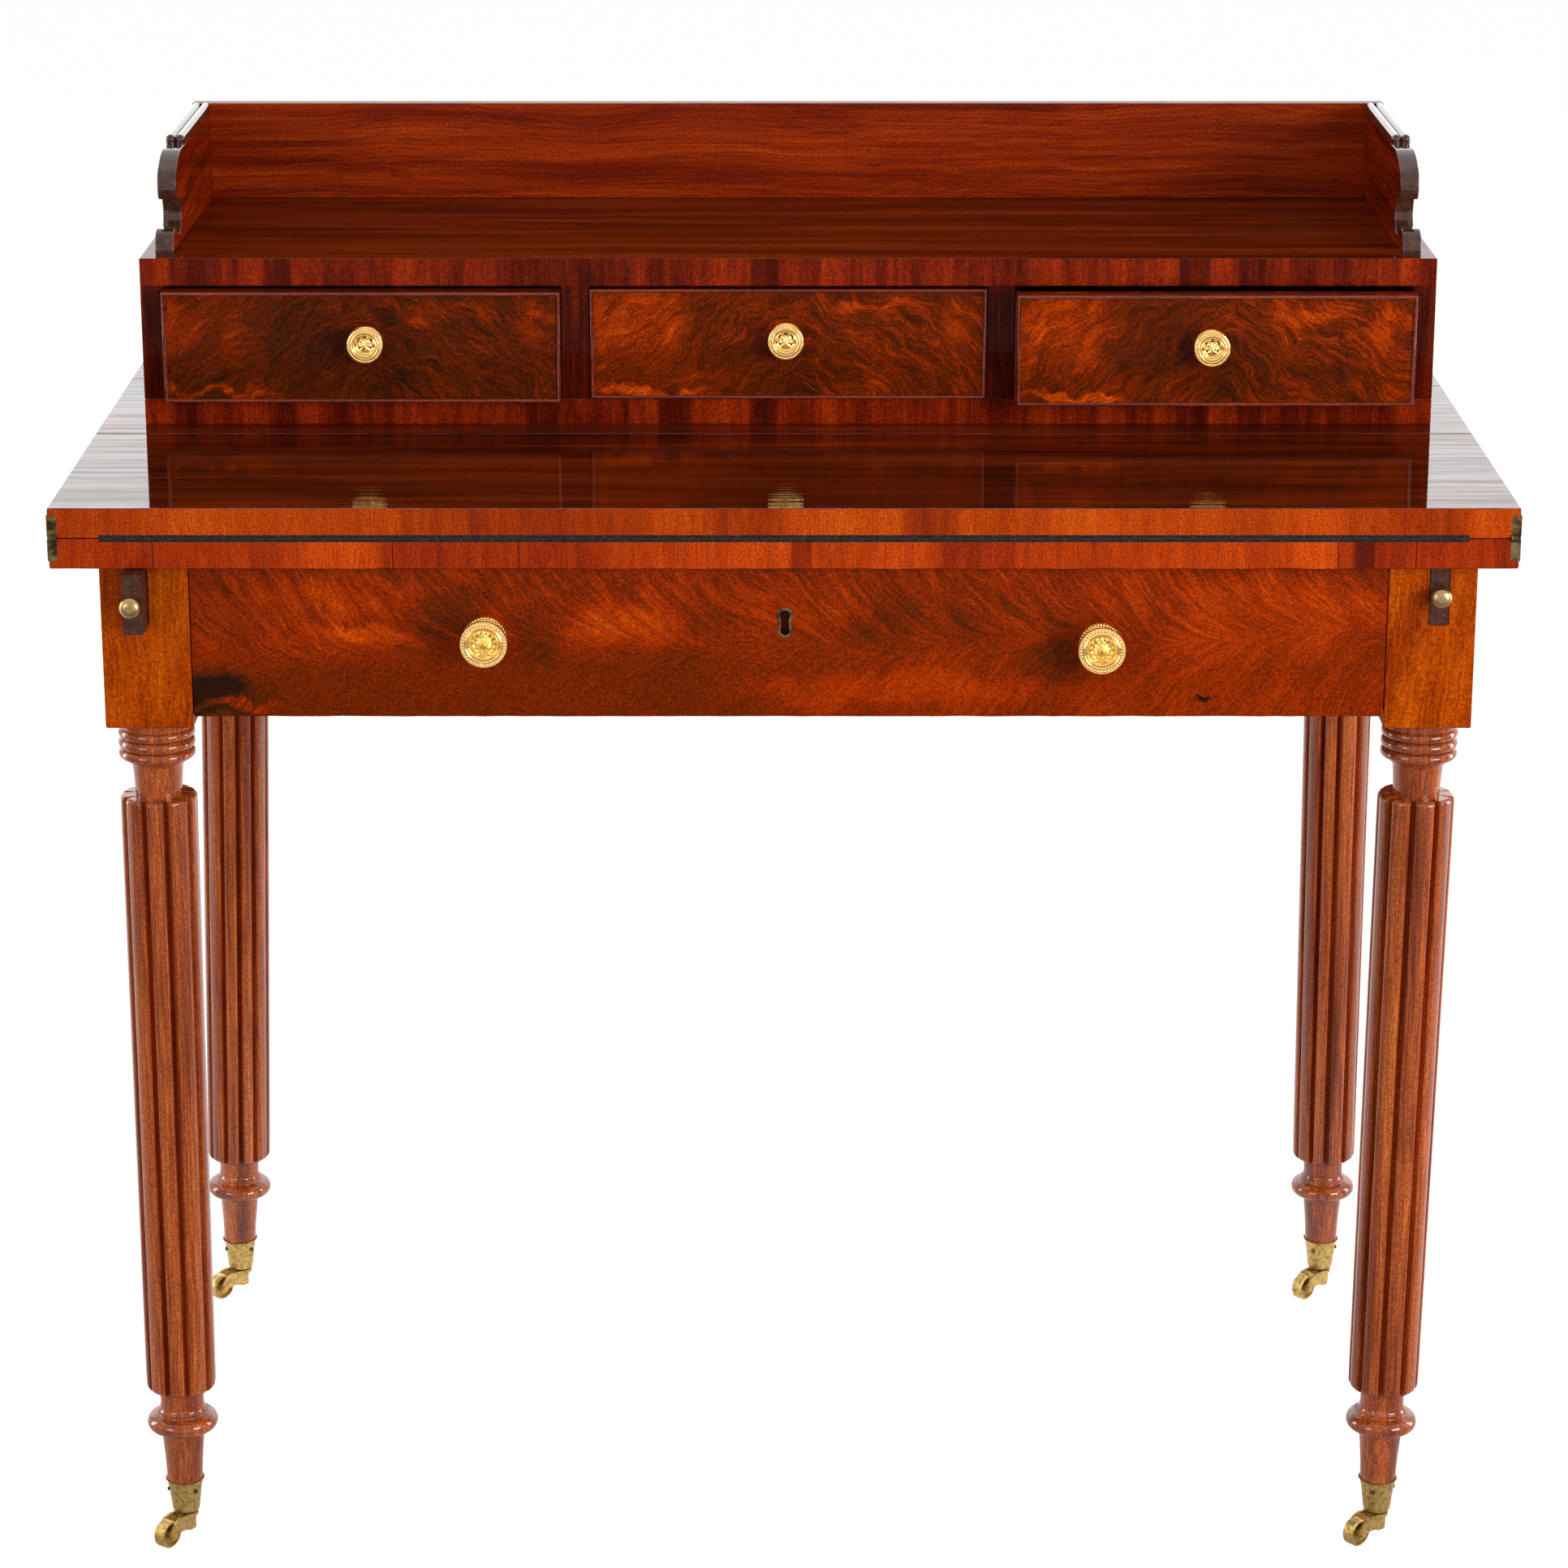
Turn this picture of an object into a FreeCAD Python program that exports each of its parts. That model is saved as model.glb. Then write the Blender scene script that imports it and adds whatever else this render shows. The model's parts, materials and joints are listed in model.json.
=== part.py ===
"""A writing desk: reeded legs on casters, a top with a leaf that folds forward onto two
pull-out lopers, a long frieze drawer, and a case of three small drawers with a gallery.

Lengths are in millimetres. While the pieces are made, X runs to the right from the middle of
the top, Y runs back from the top's front edge and Z runs up from the floor. save() then
moves each piece so that the origin is at the middle of the desk's footprint, on the floor.
"""
import FreeCAD, Part
import math
import os

Vector = FreeCAD.Vector

# The whole desk
desk_width = 990.0
desk_depth = 528.0
desk_height = 780.0

# The top: a bed board, the leaf folded over its front part, and a fixed board behind the leaf
leaf_board = 21.0
bed_thickness = 21.0
leaf_depth = 228.0
leaf_gap = 0.3
leaf_back_gap = 0.6
baize_thickness = 2.3
baize_side_border = 34.0
baize_border = 34.0

# The base frame, which stands a little to the right of the top's middle
base_inset = 28.5
base_shift = 3.0
front_setback = 11.0
back_setback = 10.5
block_side = 60.0
block_height = 115.0
rail_rise = 8.5
rail_thickness = 16.0
bearer_height = 20.0
bearer_depth = 28.0
bearer_gap = 0.5
runner_width = 26.0
guide_width = 15.3

# Turned parts of a leg, from its block downwards. No leg is quite upright: its axis leaves the
# block's middle by the first shift along X and reaches the caster at the second
axis_shifts = {
    "front_left": (0.5, -1.8),
    "front_right": (-0.6, -8.0),
    "back_left": (2.0, -13.0),
    "back_right": (-2.0, 1.0),
}
collar_radius = 25.5
collar_height = 6.3
ring_radius = 26.5
ring_groove_depth = 2.2
ring_heights = (7.3, 7.7, 7.2)
ring_taper_height = 1.6
ring_fillet_radius = 20.0
ring_fillet_height = 1.3
upper_neck_radius = 17.6
upper_neck_foot_radius = 16.2
upper_neck_height = 23.1
lower_neck_radius = 15.7
lower_neck_height = 16.0
foot_fillet_radii = (17.5, 19.5)
foot_fillet_heights = (3.3, 0.7)
torus_radius = 25.3
torus_height = 12.0
foot_top_radius = 15.2
foot_radius = 12.7
foot_height = 39.6

# Reeds, cut by hand, so the valleys that face the front have their own angles on each leg
reed_count = 10
reed_top_radius = 26.5
reed_foot_radius = 24.8
reed_top_round = 2.0
reed_foot_round = 5.0
valley_top_radius = 17.5
valley_foot_radius = 16.0
valley_rim_width = 4.2
valley_floor_width = 2.0
front_valley_degrees = {
    "front_left": (-59.0, -18.0, 18.0, 60.0),
    "front_right": (-52.0, -12.0, 28.0, 68.0),
    "back_left": (-20.5, 11.0, 40.5),
    "back_right": (-32.6, -2.0, 36.0),
}

# Casters
caster_height = 47.4
cup_height = 26.4
cup_rim_radius = 14.1
cup_rim_height = 1.2
cup_top_radius = 12.75
cup_foot_radius = 9.8
cup_foot_round = 3.0
cup_wall = 1.5
cup_base = 3.0
cup_screw_drop = 8.0
cup_screw_head_radius = 1.8
cup_screw_head_height = 1.0
cup_screw_radius = 0.9
cup_screw_length = 8.0
cup_screw_count = 3
cup_screw_stand_off = 0.3
screw_slot_width = 0.6
screw_slot_depth = 0.5
swivel_pin_radius = 3.0
swivel_pin_length = 9.0
swivel_head_radius = 4.2
swivel_head_height = 2.0
swivel_room = 0.4
fork_plate_radius = 8.6
fork_plate_thickness = 2.7
fork_gap = 0.3
fork_arm_thickness = 2.0
fork_arm_gap = 0.4
fork_end_radius = 4.0
fork_heel_reach = 2.5
fork_heel_height = 7.9
fork_heel_round = 1.6
fork_heel_length = 4.0
fork_brow_start = 9.0
fork_brow_middle = (19.4, 17.8)
fork_arch_middle = (12.0, 10.0)
axle_radius = 1.5
axle_boss_radius = 2.5
axle_boss_height = 1.5
wheel_radius = 10.0
wheel_width = 9.0
wheel_trail = 20.5
wheel_bevel = 0.8
wheel_hub_radius = 2.8
wheel_recess_radius = 8.4
wheel_recess_depth = 2.6
cup_screw_start_degrees = {"front_left": 46.0, "front_right": -22.0, "back_left": -64.0, "back_right": -35.0}
trail_degrees = {"front_left": 36.0, "front_right": 50.0, "back_left": 49.0, "back_right": 45.0}

# Hinges let into the side edges of the leaf and the bed
hinge_head_depth = 6.0
hinge_head_length = 8.0
hinge_tail_depth = 3.0
hinge_length = 62.0
hinge_proud = 0.7
hinge_plate_height = 14.8
hinge_plate_offset = 0.9
hinge_pin_advance = 0.2
hinge_pin_radius = 1.1
knuckle_radius = 2.5
knuckle_room = 0.2
cheek_thickness = 2.0
hinge_screw_head_radius = 2.9
hinge_screw_radius = 1.5
hinge_screw_length = 14.0
hinge_screw_places = (20.0, 44.0)
hinge_stud_radius = 1.2
hinge_stud_length = 6.5
hinge_stud_offset = 6.5

# Lopers
loper_width = 13.0
loper_height = 41.5
loper_back_room = 26.5
loper_outset = 4.5
loper_out_left = 26.0
loper_guide_floor = 12.0
loper_guide_wall = 12.7
loper_knob_radius = 7.25
loper_knob_projection = 15.0
loper_knob_drop = 20.2
loper_knob_shank_radius = 2.0
loper_knob_shank_length = 16.0

# The long drawer in the frieze
frieze_front_thickness = 20.0
frieze_front_drop = 0.2
frieze_top_gap = 0.5
frieze_side_thickness = 10.0
frieze_side_drop = 17.7
frieze_bottom_thickness = 7.0
frieze_bottom_rise = 4.0
frieze_back_room = 17.5
frieze_side_inset = 0.5
bottom_groove = 5.0
frieze_knob_spread = 418.0
frieze_knob_shift = 3.0
frieze_knob_drop = 52.7
frieze_knob_tilt = 4.5
frieze_knob_radius = 16.4
frieze_knob_projection = 20.0
frieze_knob_plate_radius = 15.7

# The lock and its keyhole
lock_shift = -2.4
keyhole_drop = 40.2
keyhole_radius = 3.4
keyhole_neck_width = 5.0
keyhole_foot_width = 6.2
keyhole_height = 17.3
keyhole_foot_rise = 2.6
escutcheon_band = 2.3
escutcheon_depth = 6.0
escutcheon_proud = 0.2
lock_case_width = 62.0
lock_case_height = 46.0
lock_case_depth = 10.5
lock_case_top_drop = 3.0
bolt_width = 14.0
bolt_thickness = 4.6
bolt_height = 30.0
bolt_travel = 7.5

# The case of small drawers
case_front_gap = 31.0
case_inset = 29.0
case_back_inset = 1.0
case_bottom_thickness = 18.8
case_shelf_thickness = 20.0
case_height = 121.4
case_side_thickness = 16.0
partition_thickness = 20.0
case_back_thickness = 8.0
small_front_thickness = 16.0
small_gap = 0.5
small_top_gap = 2.0
small_side_thickness = 7.5
small_side_drop = 9.1
small_bottom_thickness = 5.0
small_bottom_rise = 4.0
small_back_room = 10.0
bead_width = 2.5
bead_proud = 1.5
bead_depth = 7.5
divider_thickness = 6.4
divider_spread = 154.0
divider_drop = 5.0
small_knob_radius = 13.0
small_knob_projection = 14.0
small_knob_plate_radius = 13.0
small_knob_rise = 2.85
small_ajar = {"left": 14.0, "middle": 1.5, "right": 26.0}
small_knob_shift = {"left": 3.4, "middle": -1.7, "right": -4.0}

# Knob fixings
knob_plate_height = 2.2
knob_neck_radius = 4.6
knob_shank_radius = 2.4
knob_nut_radius = 5.5
knob_nut_height = 2.6
knob_nut_gap = 0.2

# The gallery
gallery_inset = 9.5
gallery_thickness = 13.5
gallery_back_thickness = 13.0
gallery_back_inset = 1.0
gallery_back_height = 73.0
gallery_side_height = 66.3
gallery_moulding_inset = 9.9
gallery_moulding_height = 7.3
gallery_moulding_overhang = 0.3

# Fits
running_gap = 0.05
sliding_gap = 0.3
seat_gap = 0.1
overrun = 2.0

# Heights and places that follow from the sizes
z_bed_top = desk_height - leaf_board
z_bed_bottom = z_bed_top - bed_thickness
z_pin = z_bed_top + leaf_gap / 2
y_pin = -hinge_pin_advance
z_block_bottom = z_bed_bottom - block_height
z_rail_bottom = z_block_bottom + rail_rise
z_runner_top = z_rail_bottom + bearer_height
z_loper_floor = z_bed_bottom - loper_height - 2 * sliding_gap
z_loper_guide = z_loper_floor - loper_guide_floor
z_cup_foot = caster_height - cup_height
base_width = desk_width - 2 * base_inset
loper_spread = base_width - block_side + 2 * loper_outset
x_leg = (base_width - block_side) / 2
x_block_inner = base_width / 2 - block_side
y_leg_front = front_setback + block_side / 2
y_block_back_face = front_setback + block_side
y_base_back = desk_depth - back_setback
y_leg_back = y_base_back - block_side / 2
y_back_block_front = y_base_back - block_side
y_back_rail_front = y_base_back - rail_thickness
loper_length = y_back_block_front - front_setback - loper_back_room
y_frieze_box_end = y_back_block_front - frieze_back_room
front_reach = loper_out_left + loper_knob_projection - front_setback
origin_y = (desk_depth - front_reach) / 2
case_setback = leaf_depth + case_front_gap
case_width = desk_width - 2 * case_inset
case_depth = desk_depth - case_setback - case_back_inset
y_case_panel = case_setback + case_depth - case_back_thickness
gallery_width = case_width - 2 * gallery_inset
gallery_back_setback = case_depth - gallery_back_thickness - gallery_back_inset
z_case_floor = desk_height + case_bottom_thickness
z_case_top = desk_height + case_height
z_bay_top = z_case_top - case_shelf_thickness
bay_height = z_bay_top - z_case_floor
bay_width = (case_width - 2 * case_side_thickness - 2 * partition_thickness) / 3
bay_pitch = bay_width + partition_thickness

LEGS = {
    "front_left": (-x_leg, y_leg_front),
    "front_right": (x_leg, y_leg_front),
    "back_left": (-x_leg, y_leg_back),
    "back_right": (x_leg, y_leg_back),
}
FEET = {name: (place[0] + axis_shifts[name][1], place[1]) for name, place in LEGS.items()}
BAYS = {"left": -1, "middle": 0, "right": 1}
UP = Vector(0, 0, 1)
RIGHT = Vector(1, 0, 0)
BACK = Vector(0, 1, 0)
CENTRE = Vector(0, 0, 0)


def box(x, y, z):
    """A box between the two limits given for each direction, in either order."""
    low = [min(limits) for limits in (x, y, z)]
    size = [max(limits) - min(limits) for limits in (x, y, z)]
    return Part.makeBox(size[0], size[1], size[2], Vector(*low))


def rod(radius, start, end):
    """A cylinder from one point to another."""
    run = end.sub(start)
    return Part.makeCylinder(radius, run.Length, start, run)


def outline_face(points, place):
    """A face inside a closed outline. A point is (u, v), or ((mid_u, mid_v), (u, v)) where an
    arc leads to it through the middle point; place turns (u, v) into a vector."""
    ends = [p if not isinstance(p[0], tuple) else p[1] for p in points]
    edges = []
    for i, point in enumerate(points):
        start = place(*ends[i - 1])
        end = place(*ends[i])
        if isinstance(point[0], tuple):
            edges.append(Part.Arc(start, place(*point[0]), end).toShape())
        elif start.distanceToPoint(end) > 0:
            edges.append(Part.makeLine(start, end))
    return Part.Face(Part.Wire(edges))


def turned(points):
    """A solid turned about the Z axis from an outline of (radius, height) points."""
    face = outline_face(points, lambda r, z: Vector(r, 0, z))
    return face.revolve(CENTRE, UP, 360)


def slab_across(points, x):
    """An outline of (y, z) points, stretched between two X limits."""
    face = outline_face(points, lambda y, z: Vector(min(x), y, z))
    return face.extrude(Vector(max(x) - min(x), 0, 0))


def slab_back(points, y):
    """An outline of (x, z) points, stretched between two Y limits."""
    face = outline_face(points, lambda x, z: Vector(x, min(y), z))
    return face.extrude(Vector(0, max(y) - min(y), 0))


def moved(shape, x, y, z):
    """A copy of the shape, moved by the three lengths."""
    copy = shape.copy()
    copy.translate(Vector(x, y, z))
    return copy


def turned_about(shape, axis, degrees, centre=CENTRE):
    """A copy of the shape, turned about an axis through the centre."""
    copy = shape.copy()
    copy.rotate(centre, axis, degrees)
    return copy


def facing_forward(shape):
    """A copy of a shape drawn along Z, turned so that its upper end points to the front."""
    return turned_about(shape, RIGHT, 90)


def cut(shape, tools):
    """The shape with every tool taken away."""
    return shape.cut(tools).removeSplitter()


def joined(shapes):
    """One solid from shapes that touch or overlap."""
    return shapes[0].fuse(list(shapes[1:])).removeSplitter()


def save(node, shapes, shift=0):
    """Writes the node's solids to its own file, in the desk's frame."""
    placed = [moved(s, shift, -origin_y, 0) for shape in shapes for s in shape.Solids]
    whole = placed[0] if len(placed) == 1 else Part.makeCompound(placed)
    whole.exportStep(os.path.join("parts", node + ".step"))


def valley_degrees(name):
    """All valley angles of a leg, from straight ahead towards +X: those chosen at the front,
    and the rest spread evenly over what is left."""
    seen = front_valley_degrees[name]
    hidden = reed_count - len(seen)
    step = (360 - (seen[-1] - seen[0])) / (hidden + 1)
    return seen + tuple(seen[-1] + step * (i + 1) for i in range(hidden))


def valley_cutter(low, high):
    """The wedge between two reeds, facing the front, from one height to another."""
    wires = []
    for z, floor_radius, rim_radius in (
        (low, valley_foot_radius, reed_foot_radius + overrun),
        (high, valley_top_radius, reed_top_radius + overrun),
    ):
        corners = [
            Vector(-valley_floor_width / 2, -floor_radius, z),
            Vector(valley_floor_width / 2, -floor_radius, z),
            Vector(valley_rim_width / 2, -rim_radius, z),
            Vector(-valley_rim_width / 2, -rim_radius, z),
        ]
        wires.append(Part.makePolygon(corners + corners[:1]))
    return Part.makeLoft(wires, True, True)


def rounded_corner(radius, height, size, down):
    """Outline points for a convex corner at (radius, height): with down set the outline comes
    in along the end face and leaves down the side, otherwise the other way round."""
    near = size * (1 - math.sqrt(0.5))
    if down:
        return [(radius - size, height), ((radius - near, height - near), (radius, height - size))]
    return [(radius, height + size), ((radius - near, height + near), (radius - size, height))]


def leg_shaft(name, low, high):
    """The reeded shaft of a leg."""
    outline = [(0, high)]
    outline += rounded_corner(reed_top_radius, high, reed_top_round, True)
    outline += rounded_corner(reed_foot_radius, low, reed_foot_round, False)
    outline += [(0, low)]
    cutter = valley_cutter(low - overrun, high + overrun)
    valleys = [turned_about(cutter, UP, angle) for angle in valley_degrees(name)]
    return turned(outline).cut(valleys)


def leg_rings():
    """Outline points of the collar, rings and neck between the block and the reeds, going
    down, and the height where they end."""
    z = z_block_bottom
    groove_radius = ring_radius - ring_groove_depth
    points = [(0, z + overrun), (collar_radius, z + overrun)]
    z -= collar_height
    points += [(collar_radius, z), (groove_radius, z)]
    for height in ring_heights:
        points.append(((ring_radius, z - height / 2), (groove_radius, z - height)))
        z -= height
    z -= ring_taper_height
    points.append((ring_fillet_radius, z))
    z -= ring_fillet_height
    points += [(ring_fillet_radius, z), (upper_neck_radius, z)]
    z -= upper_neck_height
    points += [(upper_neck_foot_radius, z), (0, z)]
    return points, z


def leg_foot():
    """Outline points of the neck, torus and foot below the reeds, going down to a little below
    the caster cup's rim, and the height at the start."""
    start = caster_height + foot_height + torus_height + sum(foot_fillet_heights) + lower_neck_height
    z = start - lower_neck_height
    points = [(0, start), (lower_neck_radius, start), (lower_neck_radius, z)]
    for radius, height in zip(foot_fillet_radii, foot_fillet_heights):
        points += [(radius, z), (radius, z - height)]
        z -= height
    waist = torus_radius - torus_height / 2
    points += [(waist, z), ((torus_radius, z - torus_height / 2), (waist, z - torus_height))]
    z -= torus_height
    low = caster_height - overrun
    points += [(foot_top_radius, z), (foot_radius, caster_height), (foot_radius, low), (0, low)]
    return points, start


def leg_plug():
    """The upright end of a leg in its caster cup, with the hole for the swivel pin."""
    high = caster_height + overrun
    top_radius = cup_top_radius - cup_wall - seat_gap
    plug_low = z_cup_foot + cup_base + seat_gap
    hole_radius = swivel_head_radius + swivel_room
    hole_top = plug_low + swivel_pin_length + swivel_room
    points = [
        (0, high),
        (top_radius, high),
        (top_radius, caster_height),
        (cup_foot_radius - cup_wall - seat_gap, plug_low),
        (hole_radius, plug_low),
        (hole_radius, hole_top),
        (0, hole_top),
    ]
    return turned(points)


def loper_slot(side):
    """The channel that a front leg's block has for its loper, open at the top."""
    middle = side * loper_spread / 2
    half = loper_width / 2 + sliding_gap
    y = (front_setback - overrun, y_block_back_face + overrun)
    return box((middle - half, middle + half), y, (z_loper_floor, z_bed_bottom + overrun))


def leg(name):
    """One leg in its place: block, rings, reeds and foot, drilled for its cup screws."""
    x, y = LEGS[name]
    half = block_side / 2
    rings, reeds_high = leg_rings()
    foot, reeds_low = leg_foot()
    at_block, at_foot = axis_shifts[name]
    lean = math.degrees(math.atan2(at_block - at_foot, z_block_bottom - caster_height))
    shape = joined([turned(rings), leg_shaft(name, reeds_low, reeds_high), turned(foot)])
    shape = moved(turned_about(shape, BACK, lean, UP * z_block_bottom), at_block, 0, 0)
    below = box((-block_side, block_side), (-block_side, block_side), (0, caster_height))
    holes = [moved(cup_screw(name, i, running_gap), at_foot, 0, 0) for i in range(cup_screw_count)]
    block = box((-half, half), (-half, half), (z_block_bottom, z_bed_bottom))
    shape = joined([block, cut(shape, [below]), moved(leg_plug(), at_foot, 0, 0)])
    shape = moved(cut(shape, holes), x, y, 0)
    if name.startswith("front"):
        shape = cut(shape, [loper_slot(math.copysign(1, x))])
    return shape


def cup_radius_at(z):
    """The outer radius of a cup's tapered wall at a height."""
    low = z_cup_foot + cup_foot_round
    high = caster_height - cup_rim_height
    share = (z - low) / (high - low)
    return cup_foot_radius + share * (cup_top_radius - cup_foot_radius)


def cup_screw(name, number, grown=0):
    """One round-head screw of a cup, about the leg's own axis. A grown one cuts its hole."""
    z = caster_height - cup_screw_drop
    seat = cup_radius_at(z) + cup_screw_stand_off
    head = cup_screw_head_radius
    crown = seat + cup_screw_head_height
    if grown:
        low = seat - cup_screw_length - grown
        shape = rod(cup_screw_radius + grown, UP * low, UP * crown)
    else:
        points = [
            (0, seat - cup_screw_length),
            (cup_screw_radius, seat - cup_screw_length),
            (cup_screw_radius, seat),
            (head, seat),
            ((head * math.sqrt(0.5), seat + cup_screw_head_height * math.sqrt(0.5)), (0, crown)),
        ]
        slot = box(
            (-head, head),
            (-screw_slot_width / 2, screw_slot_width / 2),
            (crown - screw_slot_depth, crown + overrun),
        )
        shape = cut(turned(points), [slot])
    shape = moved(facing_forward(shape), 0, 0, z)
    start = cup_screw_start_degrees[name]
    return turned_about(shape, UP, start + number * 360 / cup_screw_count)


def caster_cup(name):
    """The brass cup on a leg's foot."""
    inner_top = cup_top_radius - cup_wall
    inner_foot = cup_foot_radius - cup_wall
    bore = swivel_pin_radius + running_gap
    z_rim = caster_height - cup_rim_height
    points = [
        (inner_top, caster_height),
        (cup_rim_radius, caster_height),
        (cup_rim_radius, z_rim),
        (cup_top_radius, z_rim),
    ]
    points += rounded_corner(cup_foot_radius, z_cup_foot, cup_foot_round, False)
    points += [
        (bore, z_cup_foot),
        (bore, z_cup_foot + cup_base),
        (inner_foot, z_cup_foot + cup_base),
    ]
    holes = [cup_screw(name, i, running_gap) for i in range(cup_screw_count)]
    return cut(turned(points), holes)


def at_leg(shape, name):
    """A shape made about a caster's swivel axis, moved to that leg's foot."""
    x, y = FEET[name]
    return moved(shape, x, y, 0)


def trailing(shape, name):
    """A caster piece drawn with its wheel straight ahead, turned to its trail and moved."""
    return at_leg(turned_about(shape, UP, -trail_degrees[name]), name)


def fork_arm_outline():
    """The (y, z) outline of one arm, from the plate to the axle."""
    top = z_cup_foot - fork_gap
    rear = fork_heel_reach
    end = fork_end_radius
    near = end * math.sqrt(0.5)
    low = fork_heel_height
    size = fork_heel_round
    bend = size * (1 - math.sqrt(0.5))
    brow_reach, brow_height = fork_brow_middle
    arch_reach, arch_height = fork_arch_middle
    return [
        (rear, top),
        (-fork_brow_start, top),
        ((-brow_reach, brow_height), (-wheel_trail - end, wheel_radius)),
        ((-wheel_trail - near, wheel_radius - near), (-wheel_trail, wheel_radius - end)),
        ((-arch_reach, arch_height), (-fork_heel_length, low)),
        (rear - size, low),
        ((rear - bend, low + bend), (rear, low + size)),
    ]


def caster_fork(name):
    """The fork with its swivel pin, and its axle as a solid of its own."""
    z_top = z_cup_foot - fork_gap
    z_plate = z_top - fork_plate_thickness
    z_head = z_cup_foot + cup_base + seat_gap
    pieces = [
        rod(fork_plate_radius, Vector(0, 0, z_plate), Vector(0, 0, z_top)),
        rod(swivel_pin_radius, Vector(0, 0, z_plate), Vector(0, 0, z_head + swivel_head_height)),
        rod(swivel_head_radius, Vector(0, 0, z_head), Vector(0, 0, z_head + swivel_head_height)),
    ]
    inner = wheel_width / 2 + fork_arm_gap
    outer = inner + fork_arm_thickness
    for side in (-1, 1):
        pieces.append(slab_across(fork_arm_outline(), (side * inner, side * outer)))
    centre = Vector(0, -wheel_trail, wheel_radius)
    reach = RIGHT * (outer + axle_boss_height)
    hole = rod(axle_radius + running_gap, centre - reach, centre + reach)
    fork = cut(joined(pieces), [hole])
    axle = [rod(axle_radius, centre - reach, centre + reach)]
    for side in (-1, 1):
        axle.append(rod(axle_boss_radius, centre + RIGHT * side * outer, centre + reach * side))
    return [trailing(fork, name), trailing(joined(axle), name)]


def caster_wheel(name):
    """A wheel with bevelled tread and hollow side faces round its hub."""
    half = wheel_width / 2
    rim = wheel_recess_radius
    bore = axle_radius + running_gap
    web = half - wheel_recess_depth
    points = [
        (bore, -half),
        (wheel_hub_radius, -half),
        (wheel_hub_radius, -web),
        (rim, -web),
        (rim, -half),
        (wheel_radius - wheel_bevel, -half),
        (wheel_radius, -half + wheel_bevel),
        (wheel_radius, half - wheel_bevel),
        (wheel_radius - wheel_bevel, half),
        (rim, half),
        (rim, web),
        (wheel_hub_radius, web),
        (wheel_hub_radius, half),
        (bore, half),
    ]
    wheel = turned_about(turned(points), BACK, 90)
    return trailing(moved(wheel, 0, -wheel_trail, wheel_radius), name)


def base_frame():
    """The rails, bearer, runners and loper guides, by node."""
    rail_z = (z_rail_bottom, z_bed_bottom)
    x_rail = base_width / 2 - rail_thickness
    nodes = {"side_rails": [], "drawer_runners": [], "loper_guides": []}
    nodes["back_rail"] = [box((-x_block_inner, x_block_inner), (y_back_rail_front, y_base_back), rail_z)]
    runner_z = (z_rail_bottom, z_runner_top)
    y_bearer = front_setback + frieze_front_thickness + bearer_gap
    y_runner = y_bearer + bearer_depth
    nodes["front_bearer"] = [box((-x_block_inner, x_block_inner), (y_bearer, y_runner), runner_z)]
    rail_y = (y_block_back_face, y_back_block_front)
    for side in (-1, 1):
        nodes["side_rails"].append(box((side * x_rail, side * base_width / 2), rail_y, rail_z))
        inner = x_block_inner - runner_width
        runner = box((side * inner, side * x_block_inner), (y_runner, y_back_rail_front), runner_z)
        wide = box((side * inner, side * x_rail), rail_y, runner_z)
        nodes["drawer_runners"].append(joined([runner, wide]))
        x_guide = x_block_inner
        guide_z = (z_runner_top, z_loper_guide)
        nodes["drawer_runners"].append(box((side * x_guide, side * (x_guide + guide_width)), rail_y, guide_z))
        half = loper_width / 2 + sliding_gap
        middle = loper_spread / 2
        x_wall = middle - half - loper_guide_wall
        nodes["loper_guides"] += [
            box((side * x_wall, side * x_rail), rail_y, (z_loper_guide, z_loper_floor)),
            box((side * x_wall, side * (middle - half)), rail_y, (z_loper_floor, z_bed_bottom)),
            box((side * (middle + half), side * x_rail), rail_y, (z_loper_floor, z_bed_bottom)),
        ]
    return nodes


def wood_screw(head_radius, radius, length, grown=0):
    """A flush screw with its head's face at zero height, pointing down. A grown one cuts its
    hole."""
    head = head_radius + grown
    shank = radius + grown
    depth = head_radius - radius
    points = [(0, grown), (head, grown), (head, 0), (shank, -depth), (shank, -length), (0, -length - shank)]
    shape = turned(points)
    if grown:
        return shape
    slot = box(
        (-head_radius - overrun, head_radius + overrun),
        (-screw_slot_width / 2, screw_slot_width / 2),
        (-screw_slot_depth, overrun),
    )
    return cut(turned(points[1:] + [(0, 0)]), [slot])


def hinge_screws(side, way, grown=0):
    """The side screws and the front stud of one hinge plate. way is 1 for the leaf's plate and
    -1 for the bed's."""
    z_middle = z_pin + way * (hinge_plate_offset + hinge_plate_height / 2)
    x_face = desk_width / 2 + hinge_proud
    found = []
    for y in hinge_screw_places:
        screw = wood_screw(hinge_screw_head_radius, hinge_screw_radius, hinge_screw_length, grown)
        screw = turned_about(screw, BACK, side * 90)
        found.append(moved(screw, side * x_face, y, z_middle))
    stud = wood_screw(hinge_stud_radius + seat_gap, hinge_stud_radius, hinge_stud_length, grown)
    x_stud = desk_width / 2 - hinge_head_depth / 2
    found.append(moved(facing_forward(stud), side * x_stud, 0, z_pin + way * hinge_stud_offset))
    return found


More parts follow.
